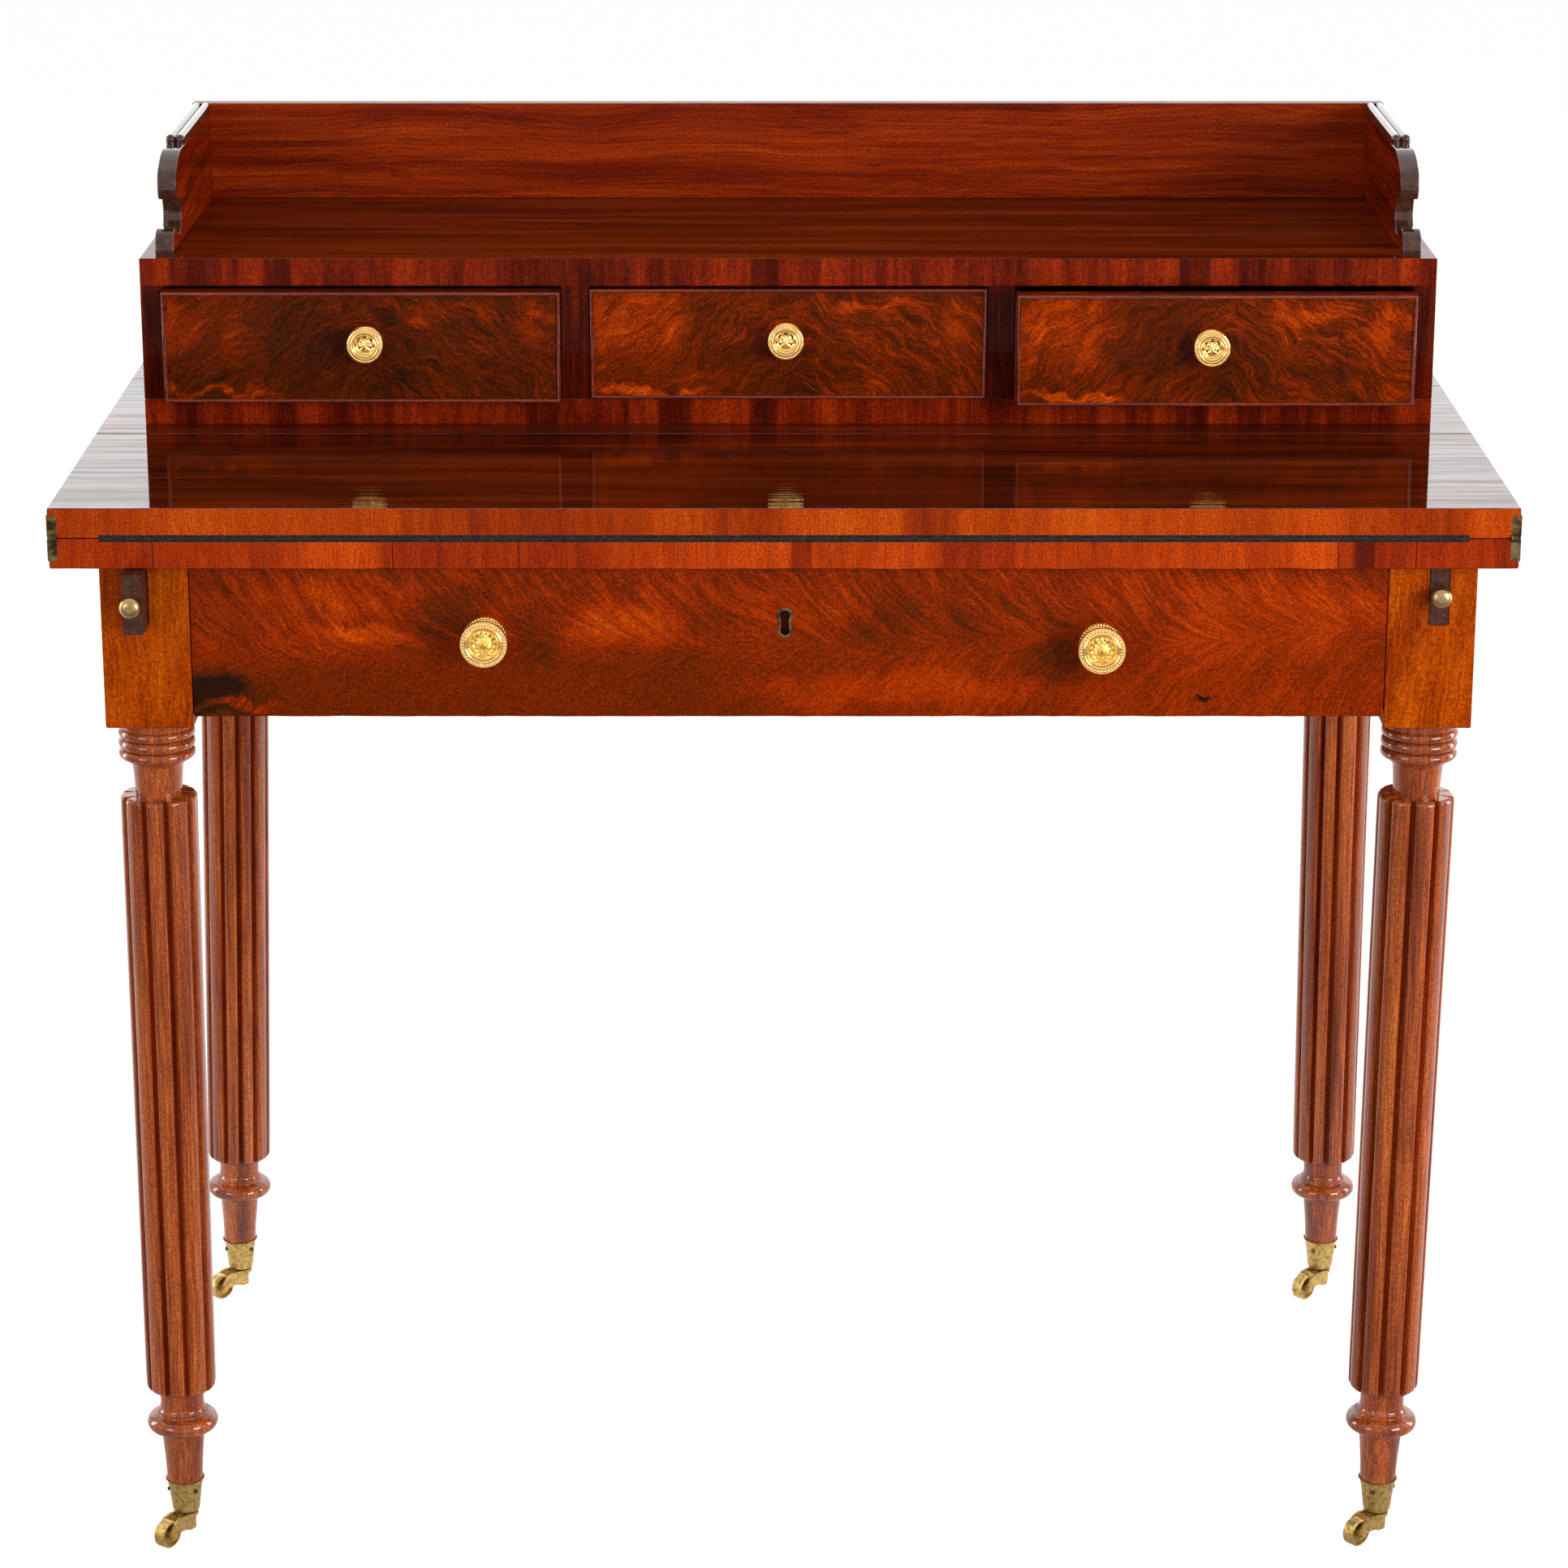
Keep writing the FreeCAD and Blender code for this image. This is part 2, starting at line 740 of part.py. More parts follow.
def hinge_plate_body(side, way, grown=0):
    """The let-in part of a hinge plate, without its knuckle. A grown one cuts its pocket."""
    x_edge = desk_width / 2
    x_out = x_edge + hinge_proud
    z_low = z_pin + way * (hinge_plate_offset - grown)
    z_high = z_pin + way * (hinge_plate_offset + hinge_plate_height + grown)
    half = hinge_plate_height / 2 + grown
    z_middle = (z_low + z_high) / 2
    y_round = hinge_length - hinge_plate_height / 2
    x_tail = x_edge - hinge_tail_depth
    front = -overrun if grown else 0
    head_x = (side * (x_edge - hinge_head_depth), side * x_out)
    head = box(head_x, (front, hinge_head_length + grown), (z_low, z_high))
    tail = box((side * x_tail, side * x_out), (front, y_round), (z_low, z_high))
    end = rod(half, Vector(side * x_tail, y_round, z_middle), Vector(side * x_out, y_round, z_middle))
    return joined([head, tail, end])


def knuckle_part(radius, side, x_from, x_to):
    """A round on the hinge pin's axis between two distances from the desk's middle."""
    return rod(radius, Vector(side * x_from, y_pin, z_pin), Vector(side * x_to, y_pin, z_pin))


def hinge_plate(side, way):
    """One hinge plate. The leaf's has two cheeks, and the bed's has the tongue and the pin."""
    x_in = desk_width / 2 - hinge_head_depth
    x_edge = desk_width / 2
    x_tongue = x_in + cheek_thickness
    x_far = x_edge - cheek_thickness
    room = knuckle_radius + knuckle_room
    gap = running_gap
    body = hinge_plate_body(side, way)
    screws = hinge_screws(side, way, running_gap)
    if way > 0:
        cheeks = [
            knuckle_part(knuckle_radius, side, x_in, x_tongue - gap),
            knuckle_part(knuckle_radius, side, x_far + gap, x_edge),
        ]
        body = joined([body] + cheeks)
        notch = knuckle_part(room, side, x_tongue - gap, x_far + gap)
        bore = knuckle_part(hinge_pin_radius + running_gap, side, x_in - gap, x_edge + hinge_proud + gap)
        return cut(body, [notch, bore] + screws)
    notches = [
        knuckle_part(room, side, x_in - gap, x_tongue),
        knuckle_part(room, side, x_far, x_edge + gap),
    ]
    body = cut(body, notches + screws)
    tongue = knuckle_part(knuckle_radius, side, x_tongue, x_far)
    pin = knuckle_part(hinge_pin_radius, side, x_in, x_edge)
    return joined([body, tongue, pin])


def hinge_room(side, way):
    """Everything that one hinge needs cut out of its board."""
    x_in = desk_width / 2 - hinge_head_depth - seat_gap
    knuckle = knuckle_part(knuckle_radius + knuckle_room, side, x_in, desk_width / 2 + overrun)
    return [hinge_plate_body(side, way, seat_gap), knuckle] + hinge_screws(side, way, running_gap)


def top_boards():
    """The bed, the leaf, the fixed rear board and the two baize linings, by node."""
    half = desk_width / 2
    baize_half = half - baize_side_border
    z_leaf = z_bed_top + leaf_gap
    bed = box((-half, half), (0, desk_depth), (z_bed_bottom, z_bed_top))
    leaf = box((-half, half), (0, leaf_depth), (z_leaf, desk_height))
    rear = box((-half, half), (leaf_depth + leaf_back_gap, desk_depth), (z_bed_top, desk_height))
    bed_baize = box((-baize_half, baize_half), (0, leaf_depth), (z_bed_top - baize_thickness, z_bed_top))
    baize_y = (0, leaf_depth - baize_border)
    leaf_baize = box((-baize_half, baize_half), baize_y, (z_leaf, z_leaf + baize_thickness))
    bolt_half = bolt_width / 2 + sliding_gap
    x_bolt = base_shift + lock_shift
    y_bolt = bolt_middle_y()
    y_half = bolt_thickness / 2 + sliding_gap
    mortise = box(
        (x_bolt - bolt_half, x_bolt + bolt_half),
        (y_bolt - y_half, y_bolt + y_half),
        (z_bed_bottom - overrun, z_bed_bottom + bolt_travel + overrun),
    )
    bed_tools = [bed_baize, mortise]
    leaf_tools = [leaf_baize]
    for side in (-1, 1):
        bed_tools += hinge_room(side, -1)
        leaf_tools += hinge_room(side, 1)
    return {
        "top_bed": [cut(bed, bed_tools)],
        "leaf": [cut(leaf, leaf_tools)],
        "rear_top": [rear],
        "bed_baize": [bed_baize],
        "leaf_baize": [leaf_baize],
    }


def loper(side, out):
    """A loper, pulled out by a length, drilled for its knob."""
    middle = side * loper_spread / 2
    half = loper_width / 2
    z_high = z_bed_bottom - sliding_gap
    front = front_setback - out
    bar = box((middle - half, middle + half), (front, front + loper_length), (z_high - loper_height, z_high))
    z_knob = z_high - loper_knob_drop
    radius = loper_knob_shank_radius + seat_gap
    depth = loper_knob_shank_length + seat_gap
    hole = rod(radius, Vector(middle, front - overrun, z_knob), Vector(middle, front + depth, z_knob))
    return cut(bar, [hole])


# Shares of a loper knob's radius and projection, from its foot to its crown
loper_knob_shares = ((0.62, 0.0), (0.62, 0.1), (0.36, 0.2), (0.36, 0.4), (0.8, 0.46))
loper_knob_ball_shares = ((1.0, 0.68), (0.8, 0.9), (0.5, 0.98), (0.2, 1.0))


def loper_knob(side, out):
    """The brass knob on a loper's front end, with its shank."""
    radius = loper_knob_radius
    reach = loper_knob_projection
    ball = [(r * radius, h * reach) for r, h in loper_knob_ball_shares]
    points = [(0, -loper_knob_shank_length), (loper_knob_shank_radius, -loper_knob_shank_length)]
    points.append((loper_knob_shank_radius, 0))
    points += [(r * radius, h * reach) for r, h in loper_knob_shares]
    points += [(ball[0], ball[1]), (ball[2], ball[3]), (0, reach)]
    z = z_bed_bottom - sliding_gap - loper_knob_drop
    return moved(facing_forward(turned(points)), side * loper_spread / 2, front_setback - out, z)


# Shares of a drawer knob's radius and of its height over its plate, from the neck to the middle
knob_back_shares = ((0.42, 0.28), (0.86, 0.36))
knob_face_shares = ((0.96, 0.64), (0.9, 0.64), (0.78, 0.68), (0.74, 0.84), (0.65, 0.84), (0.61, 0.66))
knob_ring_shares = ((0.53, 0.84), (0.43, 0.66))
knob_rosette_shares = ((0.37, 0.94), (0.22, 1.0))


def drawer_knob(radius, projection, plate_radius, board, grown=0):
    """A knob, its back plate and its nut, drawn upwards from the board's face at zero height.
    A grown one is only the hole through the board."""
    if grown:
        return [rod(knob_shank_radius + grown, Vector(0, 0, -board - overrun), Vector(0, 0, overrun))]
    reach = projection - knob_plate_height
    plate_edge = plate_radius - knob_plate_height / 2
    bore = knob_shank_radius + seat_gap
    plate = turned(
        [(bore, 0), (plate_radius, 0), (plate_radius, knob_plate_height / 2), (plate_edge, knob_plate_height),
         (bore, knob_plate_height)]
    )
    nut_face = -board - knob_nut_gap
    shank_end = nut_face - knob_nut_height - knob_nut_gap

    def placed(shares):
        return [(r * radius, knob_plate_height + h * reach) for r, h in shares]

    ring = placed(knob_ring_shares)
    rosette = placed(knob_rosette_shares)
    edge = placed(knob_face_shares[:1])[0]
    back = placed(knob_back_shares)
    points = [(0, shank_end), (knob_shank_radius, shank_end), (knob_shank_radius, knob_plate_height)]
    points += [(knob_neck_radius, knob_plate_height), (knob_neck_radius, back[0][1])] + back
    points.append(((radius, (back[1][1] + edge[1]) / 2), edge))
    points += placed(knob_face_shares[1:])
    points.append((ring[0], ring[1]))
    points += [(rosette[0], rosette[1]), (0, projection)]
    nut_bore = knob_shank_radius + running_gap
    nut = rod(knob_nut_radius, Vector(0, 0, nut_face - knob_nut_height), Vector(0, 0, nut_face))
    nut = cut(nut, [rod(nut_bore, Vector(0, 0, shank_end - overrun), Vector(0, 0, overrun))])
    return [plate, turned(points), nut]


def frieze_knob_places():
    """The two places of the long drawer's knobs, which aren't quite level."""
    z_top = z_bed_bottom - frieze_top_gap
    places = []
    for side in (-1, 1):
        x = frieze_knob_shift + side * frieze_knob_spread / 2
        places.append((x, z_top - frieze_knob_drop - side * frieze_knob_tilt / 2))
    return places


def frieze_knobs(grown=0):
    """Both knobs of the long drawer, or the holes for them."""
    found = []
    for x, z in frieze_knob_places():
        pieces = drawer_knob(
            frieze_knob_radius,
            frieze_knob_projection,
            frieze_knob_plate_radius,
            frieze_front_thickness,
            grown,
        )
        found += [moved(facing_forward(piece), x, front_setback, z) for piece in pieces]
    return found


def keyhole_outline(band):
    """The (x, z) outline of a keyhole, widened by a band all round."""
    z_middle = z_bed_bottom - frieze_top_gap - keyhole_drop
    z_round = z_middle + keyhole_height / 2 - keyhole_radius
    z_tip = z_middle - keyhole_height / 2 - band
    z_foot = z_middle - keyhole_height / 2 + keyhole_foot_rise
    radius = keyhole_radius + band
    neck = keyhole_neck_width / 2 + band
    foot = keyhole_foot_width / 2 + band
    rise = math.sqrt(radius * radius - neck * neck)
    left = lock_shift - neck
    right = lock_shift + neck
    return [
        (left, z_round - rise),
        ((lock_shift, z_round + radius), (right, z_round - rise)),
        (lock_shift + foot, z_foot),
        (lock_shift, z_tip),
        (lock_shift - foot, z_foot),
    ]


def bolt_middle_y():
    """How far back the middle of the lock bolt is."""
    return front_setback + frieze_front_thickness - lock_case_depth / 2


def lock_parts():
    """The lock case with its bolt channel, and the bolt, by node."""
    z_high = z_bed_bottom - frieze_top_gap - lock_case_top_drop
    y_back = front_setback + frieze_front_thickness
    half = lock_case_width / 2
    case = box(
        (lock_shift - half, lock_shift + half),
        (y_back - lock_case_depth, y_back),
        (z_high - lock_case_height, z_high),
    )
    y_bolt = bolt_middle_y()
    channel_half = bolt_width / 2 + sliding_gap
    channel_y = bolt_thickness / 2 + sliding_gap
    channel = box(
        (lock_shift - channel_half, lock_shift + channel_half),
        (y_bolt - channel_y, y_bolt + channel_y),
        (z_high - bolt_height - sliding_gap, z_high + overrun),
    )
    bolt = box(
        (lock_shift - bolt_width / 2, lock_shift + bolt_width / 2),
        (y_bolt - bolt_thickness / 2, y_bolt + bolt_thickness / 2),
        (z_high - bolt_height, z_high),
    )
    return {"lock_case": [cut(case, [channel])], "lock_bolt": [bolt]}


def frieze_drawer():
    """The long drawer's front, box, escutcheon and lock, by node."""
    half = x_block_inner - frieze_side_inset
    z_top = z_bed_bottom - frieze_top_gap
    z_bottom = z_rail_bottom - frieze_front_drop
    y_back = front_setback + frieze_front_thickness
    front = box((-half, half), (front_setback, y_back), (z_bottom, z_top))
    locks = lock_parts()
    lock_box = locks["lock_case"][0].BoundBox
    recess = box(
        (lock_box.XMin - seat_gap, lock_box.XMax + seat_gap),
        (lock_box.YMin, y_back + overrun),
        (lock_box.ZMin - seat_gap, z_top + overrun),
    )
    y_seat = (front_setback - overrun, front_setback + escutcheon_depth)
    seat = slab_back(keyhole_outline(escutcheon_band + running_gap), y_seat)
    keyhole = slab_back(keyhole_outline(0), (front_setback - overrun, y_back))
    rim_y = (front_setback - escutcheon_proud, front_setback + escutcheon_depth)
    rim = cut(slab_back(keyhole_outline(escutcheon_band), rim_y), [keyhole])
    side_out = x_block_inner - 2 * frieze_side_inset
    side_in = side_out - frieze_side_thickness
    z_box = z_runner_top + sliding_gap
    z_side = z_top - frieze_side_drop
    y_end = y_frieze_box_end
    z_panel = z_box + frieze_bottom_rise
    groove = side_in + bottom_groove
    panel_top = z_panel + frieze_bottom_thickness
    panel_front = y_back - bottom_groove
    panel = box((-groove, groove), (panel_front, y_end), (z_panel, panel_top))
    groove_cut = box(
        (-groove - seat_gap, groove + seat_gap),
        (panel_front - seat_gap, y_end + overrun),
        (z_panel, panel_top),
    )
    sides = [
        cut(box((side * side_in, side * side_out), (y_back, y_end), (z_box, z_side)), [groove_cut])
        for side in (-1, 1)
    ]
    rear = box((-side_in, side_in), (y_end - frieze_side_thickness, y_end), (panel_top, z_side))
    front = cut(front, [recess, seat, keyhole, groove_cut] + frieze_knobs(running_gap))
    return {
        "frieze_drawer_front": [front],
        "frieze_drawer_sides": sides,
        "frieze_drawer_back": [rear],
        "frieze_drawer_bottom": [panel],
        "frieze_knobs": frieze_knobs(),
        "escutcheon": [rim],
        "lock_case": locks["lock_case"],
        "lock_bolt": locks["lock_bolt"],
    }


def drawer_case():
    """The boards of the case that holds the small drawers, by node."""
    half = case_width / 2
    y = (case_setback, case_setback + case_depth)
    bay_z = (z_case_floor, z_bay_top)
    x_side = half - case_side_thickness
    uprights = [box((side * x_side, side * half), y, bay_z) for side in (-1, 1)]
    for side in (-1, 1):
        middle = side * bay_pitch / 2
        x = (middle - partition_thickness / 2, middle + partition_thickness / 2)
        uprights.append(box(x, (case_setback, y_case_panel), bay_z))
    return {
        "case_bottom": [box((-half, half), y, (desk_height, z_case_floor))],
        "case_shelf": [box((-half, half), y, (z_bay_top, z_case_top))],
        "case_uprights": uprights,
        "case_back": [box((-x_side, x_side), (y_case_panel, y[1]), bay_z)],
    }


def small_knob(which, grown=0):
    """A small drawer's knob, plate and nut, or the hole for them, ahead of the drawer's face."""
    z = z_case_floor + bay_height / 2 + small_knob_rise
    x = BAYS[which] * bay_pitch + small_knob_shift[which]
    pieces = drawer_knob(
        small_knob_radius, small_knob_projection, small_knob_plate_radius, small_front_thickness, grown
    )
    return [moved(facing_forward(piece), x, case_setback, z) for piece in pieces]


def small_drawer(which):
    """One small drawer, left ajar as the photographed one is, by node."""
    middle = BAYS[which] * bay_pitch
    half = bay_width / 2 - small_gap
    z_low = z_case_floor + sliding_gap
    z_high = z_bay_top - small_top_gap
    y_face = case_setback
    y_back = y_face + small_front_thickness
    y_end = y_case_panel - small_back_room
    slab = box((middle - half, middle + half), (y_face, y_back), (z_low, z_high))
    inner = box(
        (middle - half + bead_width, middle + half - bead_width),
        (y_face - bead_proud - overrun, y_face + bead_depth + overrun),
        (z_low + bead_width, z_high - bead_width),
    )
    rim = box((middle - half, middle + half), (y_face - bead_proud, y_face + bead_depth), (z_low, z_high))
    beads = cut(rim, [inner])
    side_in = half - small_side_thickness
    z_side = z_high - small_side_drop
    z_panel = z_low + small_bottom_rise
    panel_top = z_panel + small_bottom_thickness
    groove = side_in + bottom_groove
    panel_front = y_back - bottom_groove
    panel = box((middle - groove, middle + groove), (panel_front, y_end), (z_panel, panel_top))
    groove_cut = box(
        (middle - groove - seat_gap, middle + groove + seat_gap),
        (panel_front - seat_gap, y_end + overrun),
        (z_panel, panel_top),
    )
    pieces = [panel]
    for side in (-1, 1):
        x = (middle + side * side_in, middle + side * half)
        pieces.append(cut(box(x, (y_back, y_end), (z_low, z_side)), [groove_cut]))
    y_rear = y_end - small_side_thickness
    pieces.append(box((middle - side_in, middle + side_in), (y_rear, y_end), (panel_top, z_side)))
    front = cut(slab, [beads, groove_cut] + small_knob(which, running_gap))
    nodes = {
        "small_drawer_front_" + which: [front],
        "small_drawer_beads_" + which: [beads],
        "small_drawer_box_" + which: pieces,
        "small_drawer_knob_" + which: small_knob(which),
    }
    if which == "right":
        dividers = []
        for side in (-1, 1):
            x_mid = middle + side * divider_spread / 2
            x = (x_mid - divider_thickness / 2, x_mid + divider_thickness / 2)
            dividers.append(box(x, (y_back, y_rear), (panel_top, z_side - divider_drop)))
        nodes["small_drawer_dividers"] = dividers
    ajar = small_ajar[which]
    return {node: [moved(shape, 0, -ajar, 0) for shape in shapes] for node, shapes in nodes.items()}


# The gallery side's front outline, from the shelf up to its top, as shares of the length from
# the case's front to the gallery's back, and of the gallery side's height
gallery_foot_shares = ((0.067, 0.0), (0.067, 0.09))
gallery_toe_shares = ((0.085, 0.2), (0.13, 0.24))
gallery_ledge_shares = (0.16, 0.24)
gallery_neck_shares = ((0.262, 0.37), (0.235, 0.513))
gallery_chin_shares = (0.173, 0.53)
gallery_lobe_shares = ((0.163, 0.72), (0.2, 0.875))
gallery_brow_shares = ((0.26, 0.975), (0.339, 1.0))


def gallery():
    """The gallery's back, shaped sides and double-reed mouldings, by node."""
    half = gallery_width / 2
    x_in = half - gallery_thickness
    y_back = case_setback + gallery_back_setback
    back = box(
        (-half, half),
        (y_back, y_back + gallery_back_thickness),
        (z_case_top, z_case_top + gallery_back_height),
    )

    def placed(shares):
        return (case_setback + shares[0] * gallery_back_setback, z_case_top + shares[1] * gallery_side_height)

    def arc(shares):
        return (placed(shares[0]), placed(shares[1]))

    z_side = z_case_top + gallery_side_height
    outline = [placed(shares) for shares in gallery_foot_shares]
    outline += [arc(gallery_toe_shares), placed(gallery_ledge_shares), arc(gallery_neck_shares)]
    outline += [placed(gallery_chin_shares), arc(gallery_lobe_shares), arc(gallery_brow_shares)]
    outline += [(y_back, z_side), (y_back, z_case_top)]
    sides = []
    mouldings = []
    reed_width = gallery_thickness / 2 + gallery_moulding_overhang
    for side in (-1, 1):
        sides.append(slab_across(outline, (side * x_in, side * half)))
        reeds = []
        middle = side * (x_in + half) / 2
        for way in (-1, 1):
            reeds.append(moulding_reed(middle + way * reed_width / 2, reed_width / 2, z_side, y_back))
        mouldings.append(joined(reeds))
    return {"gallery_back": [back], "gallery_sides": sides, "gallery_mouldings": mouldings}


def moulding_reed(x, half_width, z_foot, y_end):
    """One reed of a moulding: flat below, round above, with a rounded front end."""
    height = gallery_moulding_height
    brow_share = gallery_brow_shares[-1][0]
    y_start = case_setback + brow_share * gallery_back_setback + gallery_moulding_inset
    section = outline_face(
        [
            (-half_width, 0),
            (-half_width, height - half_width),
            ((0, height), (half_width, height - half_width)),
            (half_width, 0),
        ],
        lambda u, v: Vector(x + u, y_start + half_width, z_foot + v),
    )
    bar = section.extrude(Vector(0, y_end - y_start - half_width, 0))
    foot = Vector(x, y_start + half_width, z_foot)
    middle = foot + UP * (height - half_width)
    post = rod(half_width, foot, foot + UP * height)
    ball = Part.makeSphere(half_width, middle)
    stump = rod(half_width, foot, middle)
    return joined([bar, stump, ball.common(post)])


def build():
    """Makes every node of the desk and writes its file."""
    os.makedirs("parts", exist_ok=True)
    for node, shapes in top_boards().items():
        save(node, shapes)
    for way, word in ((1, "upper"), (-1, "lower")):
        save("hinge_plates_" + word, [hinge_plate(side, way) for side in (-1, 1)])
        screws = [screw for side in (-1, 1) for screw in hinge_screws(side, way)]
        save("hinge_screws_" + word, screws)
    for name in LEGS:
        save("leg_" + name, [leg(name)], base_shift)
        save("caster_fork_" + name, caster_fork(name), base_shift)
        save("caster_wheel_" + name, [caster_wheel(name)], base_shift)
    save("caster_cups", [at_leg(caster_cup(name), name) for name in LEGS], base_shift)
    screws = [at_leg(cup_screw(name, i), name) for name in LEGS for i in range(cup_screw_count)]
    save("caster_screws", screws, base_shift)
    for side, word, out in ((-1, "left", loper_out_left), (1, "right", 0)):
        save("loper_" + word, [loper(side, out)], base_shift)
        save("loper_knob_" + word, [loper_knob(side, out)], base_shift)
    groups = [base_frame(), frieze_drawer(), drawer_case(), gallery()]
    groups += [small_drawer(which) for which in BAYS]
    for group in groups:
        for node, shapes in group.items():
            save(node, shapes, base_shift)


build()
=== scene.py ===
"""The looks of a french-polished mahogany writing desk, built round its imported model.

The desk stands on four reeded legs with brass casters. Its top has a leaf that folds forward
onto two pull-out lopers, its frieze holds one long drawer, and a case of three small drawers
with a shaped gallery stands at the back. Lengths are in metres unless a name says millimetres.
"""

import json
import logging
import math
from dataclasses import dataclass
from enum import Enum

import bpy
import bmesh
from mathutils import Matrix, Vector, noise


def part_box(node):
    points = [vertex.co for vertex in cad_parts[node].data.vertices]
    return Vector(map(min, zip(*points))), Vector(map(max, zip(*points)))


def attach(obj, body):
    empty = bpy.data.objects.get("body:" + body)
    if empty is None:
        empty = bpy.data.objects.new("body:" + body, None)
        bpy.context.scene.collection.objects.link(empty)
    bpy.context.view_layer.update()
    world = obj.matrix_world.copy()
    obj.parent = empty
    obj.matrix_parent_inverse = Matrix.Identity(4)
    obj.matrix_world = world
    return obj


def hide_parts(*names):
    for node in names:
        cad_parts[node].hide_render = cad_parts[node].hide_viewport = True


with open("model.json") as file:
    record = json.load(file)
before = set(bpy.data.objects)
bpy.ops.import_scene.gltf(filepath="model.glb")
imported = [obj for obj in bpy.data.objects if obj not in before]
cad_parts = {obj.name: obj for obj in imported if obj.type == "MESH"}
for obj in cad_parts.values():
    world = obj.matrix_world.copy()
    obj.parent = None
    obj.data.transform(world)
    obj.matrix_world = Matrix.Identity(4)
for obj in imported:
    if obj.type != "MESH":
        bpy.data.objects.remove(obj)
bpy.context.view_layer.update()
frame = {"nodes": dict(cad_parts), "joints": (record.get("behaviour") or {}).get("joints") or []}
log = logging.getLogger("writing_desk")

MM = 0.001
TURN = 2 * math.pi

Material = bpy.types.Material
Node = bpy.types.Node
Piece = bpy.types.Object
Socket = bpy.types.NodeSocket
Tree = bpy.types.NodeTree


def span(node: str) -> tuple[list, list]:
    """A CAD node's lowest and highest corners at rest, in millimetres."""
    low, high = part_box(node)
    return [v / MM for v in low], [v / MM for v in high]


def joint(name: str) -> dict:
    """One of the frame's joints."""
    return next(found for found in frame["joints"] if found["name"] == name)


def circle(radius: float, steps: int, x: float = 0.0, y: float = 0.0) -> list:
    """Points on a circle.

    Args:
        radius: Its radius.
        steps: How many points it has.
        x: Its middle along X.
        y: Its middle along Y.

    Returns:
        The points as (x, y).
    """
    turns = [TURN * i / steps for i in range(steps)]
    return [(x + radius * math.cos(a), y + radius * math.sin(a)) for a in turns]


class Axis(Enum):
    """The direction that a piece or its grain runs in."""

    X = 0
    Y = 1
    Z = 2


def linear(colour: str) -> tuple[float, float, float, float]:
    """Turns an sRGB hex colour into the linear colour that a shader takes.

    Args:
        colour: Six hex digits, with or without a leading hash.

    Returns:
        Red, green, blue and alpha.
    """
    digits = colour.lstrip("#")
    found = []
    for i in (0, 2, 4):
        c = int(digits[i:i + 2], 16) / 255
        found.append(c / 12.92 if c <= 0.04045 else ((c + 0.055) / 1.055) ** 2.4)
    return (*found, 1.0)


def add(tree: Tree, kind: str, links: dict | None = None, stops: tuple = (), **settings: object) -> Node:
    """Adds a shader node with its settings and links.

    Args:
        tree: The node tree that gets the node.
        kind: The node's type name without its "ShaderNode" part.
        links: Values, sockets or nodes by input name or index. A node gives its first output.
        stops: Position and hex colour or grey level of each stop, for a colour ramp.
        settings: The node's own properties.

    Returns:
        The new node.
    """
    node = tree.nodes.new("ShaderNode" + kind)
    for key, value in settings.items():
        setattr(node, key, value)
    for key, value in (links or {}).items():
        if isinstance(value, bpy.types.Node):
            value = value.outputs[0]
        if isinstance(value, bpy.types.NodeSocket):
            tree.links.new(value, node.inputs[key])
        else:
            node.inputs[key].default_value = value
    for i, (place, colour) in enumerate(stops):
        ramp = node.color_ramp.elements
        stop = ramp[i] if i < 2 else ramp.new(place)
        stop.position = place
        stop.color = linear(colour) if isinstance(colour, str) else (colour, colour, colour, 1)
    return node


def new_material(name: str) -> tuple[Material, Tree]:
    """Makes an empty node material.

    Args:
        name: What the material is.

    Returns:
        The material and its node tree.
    """
    material = bpy.data.materials.new(name)
    material.use_nodes = True
    material.node_tree.nodes.clear()
    return material, material.node_tree


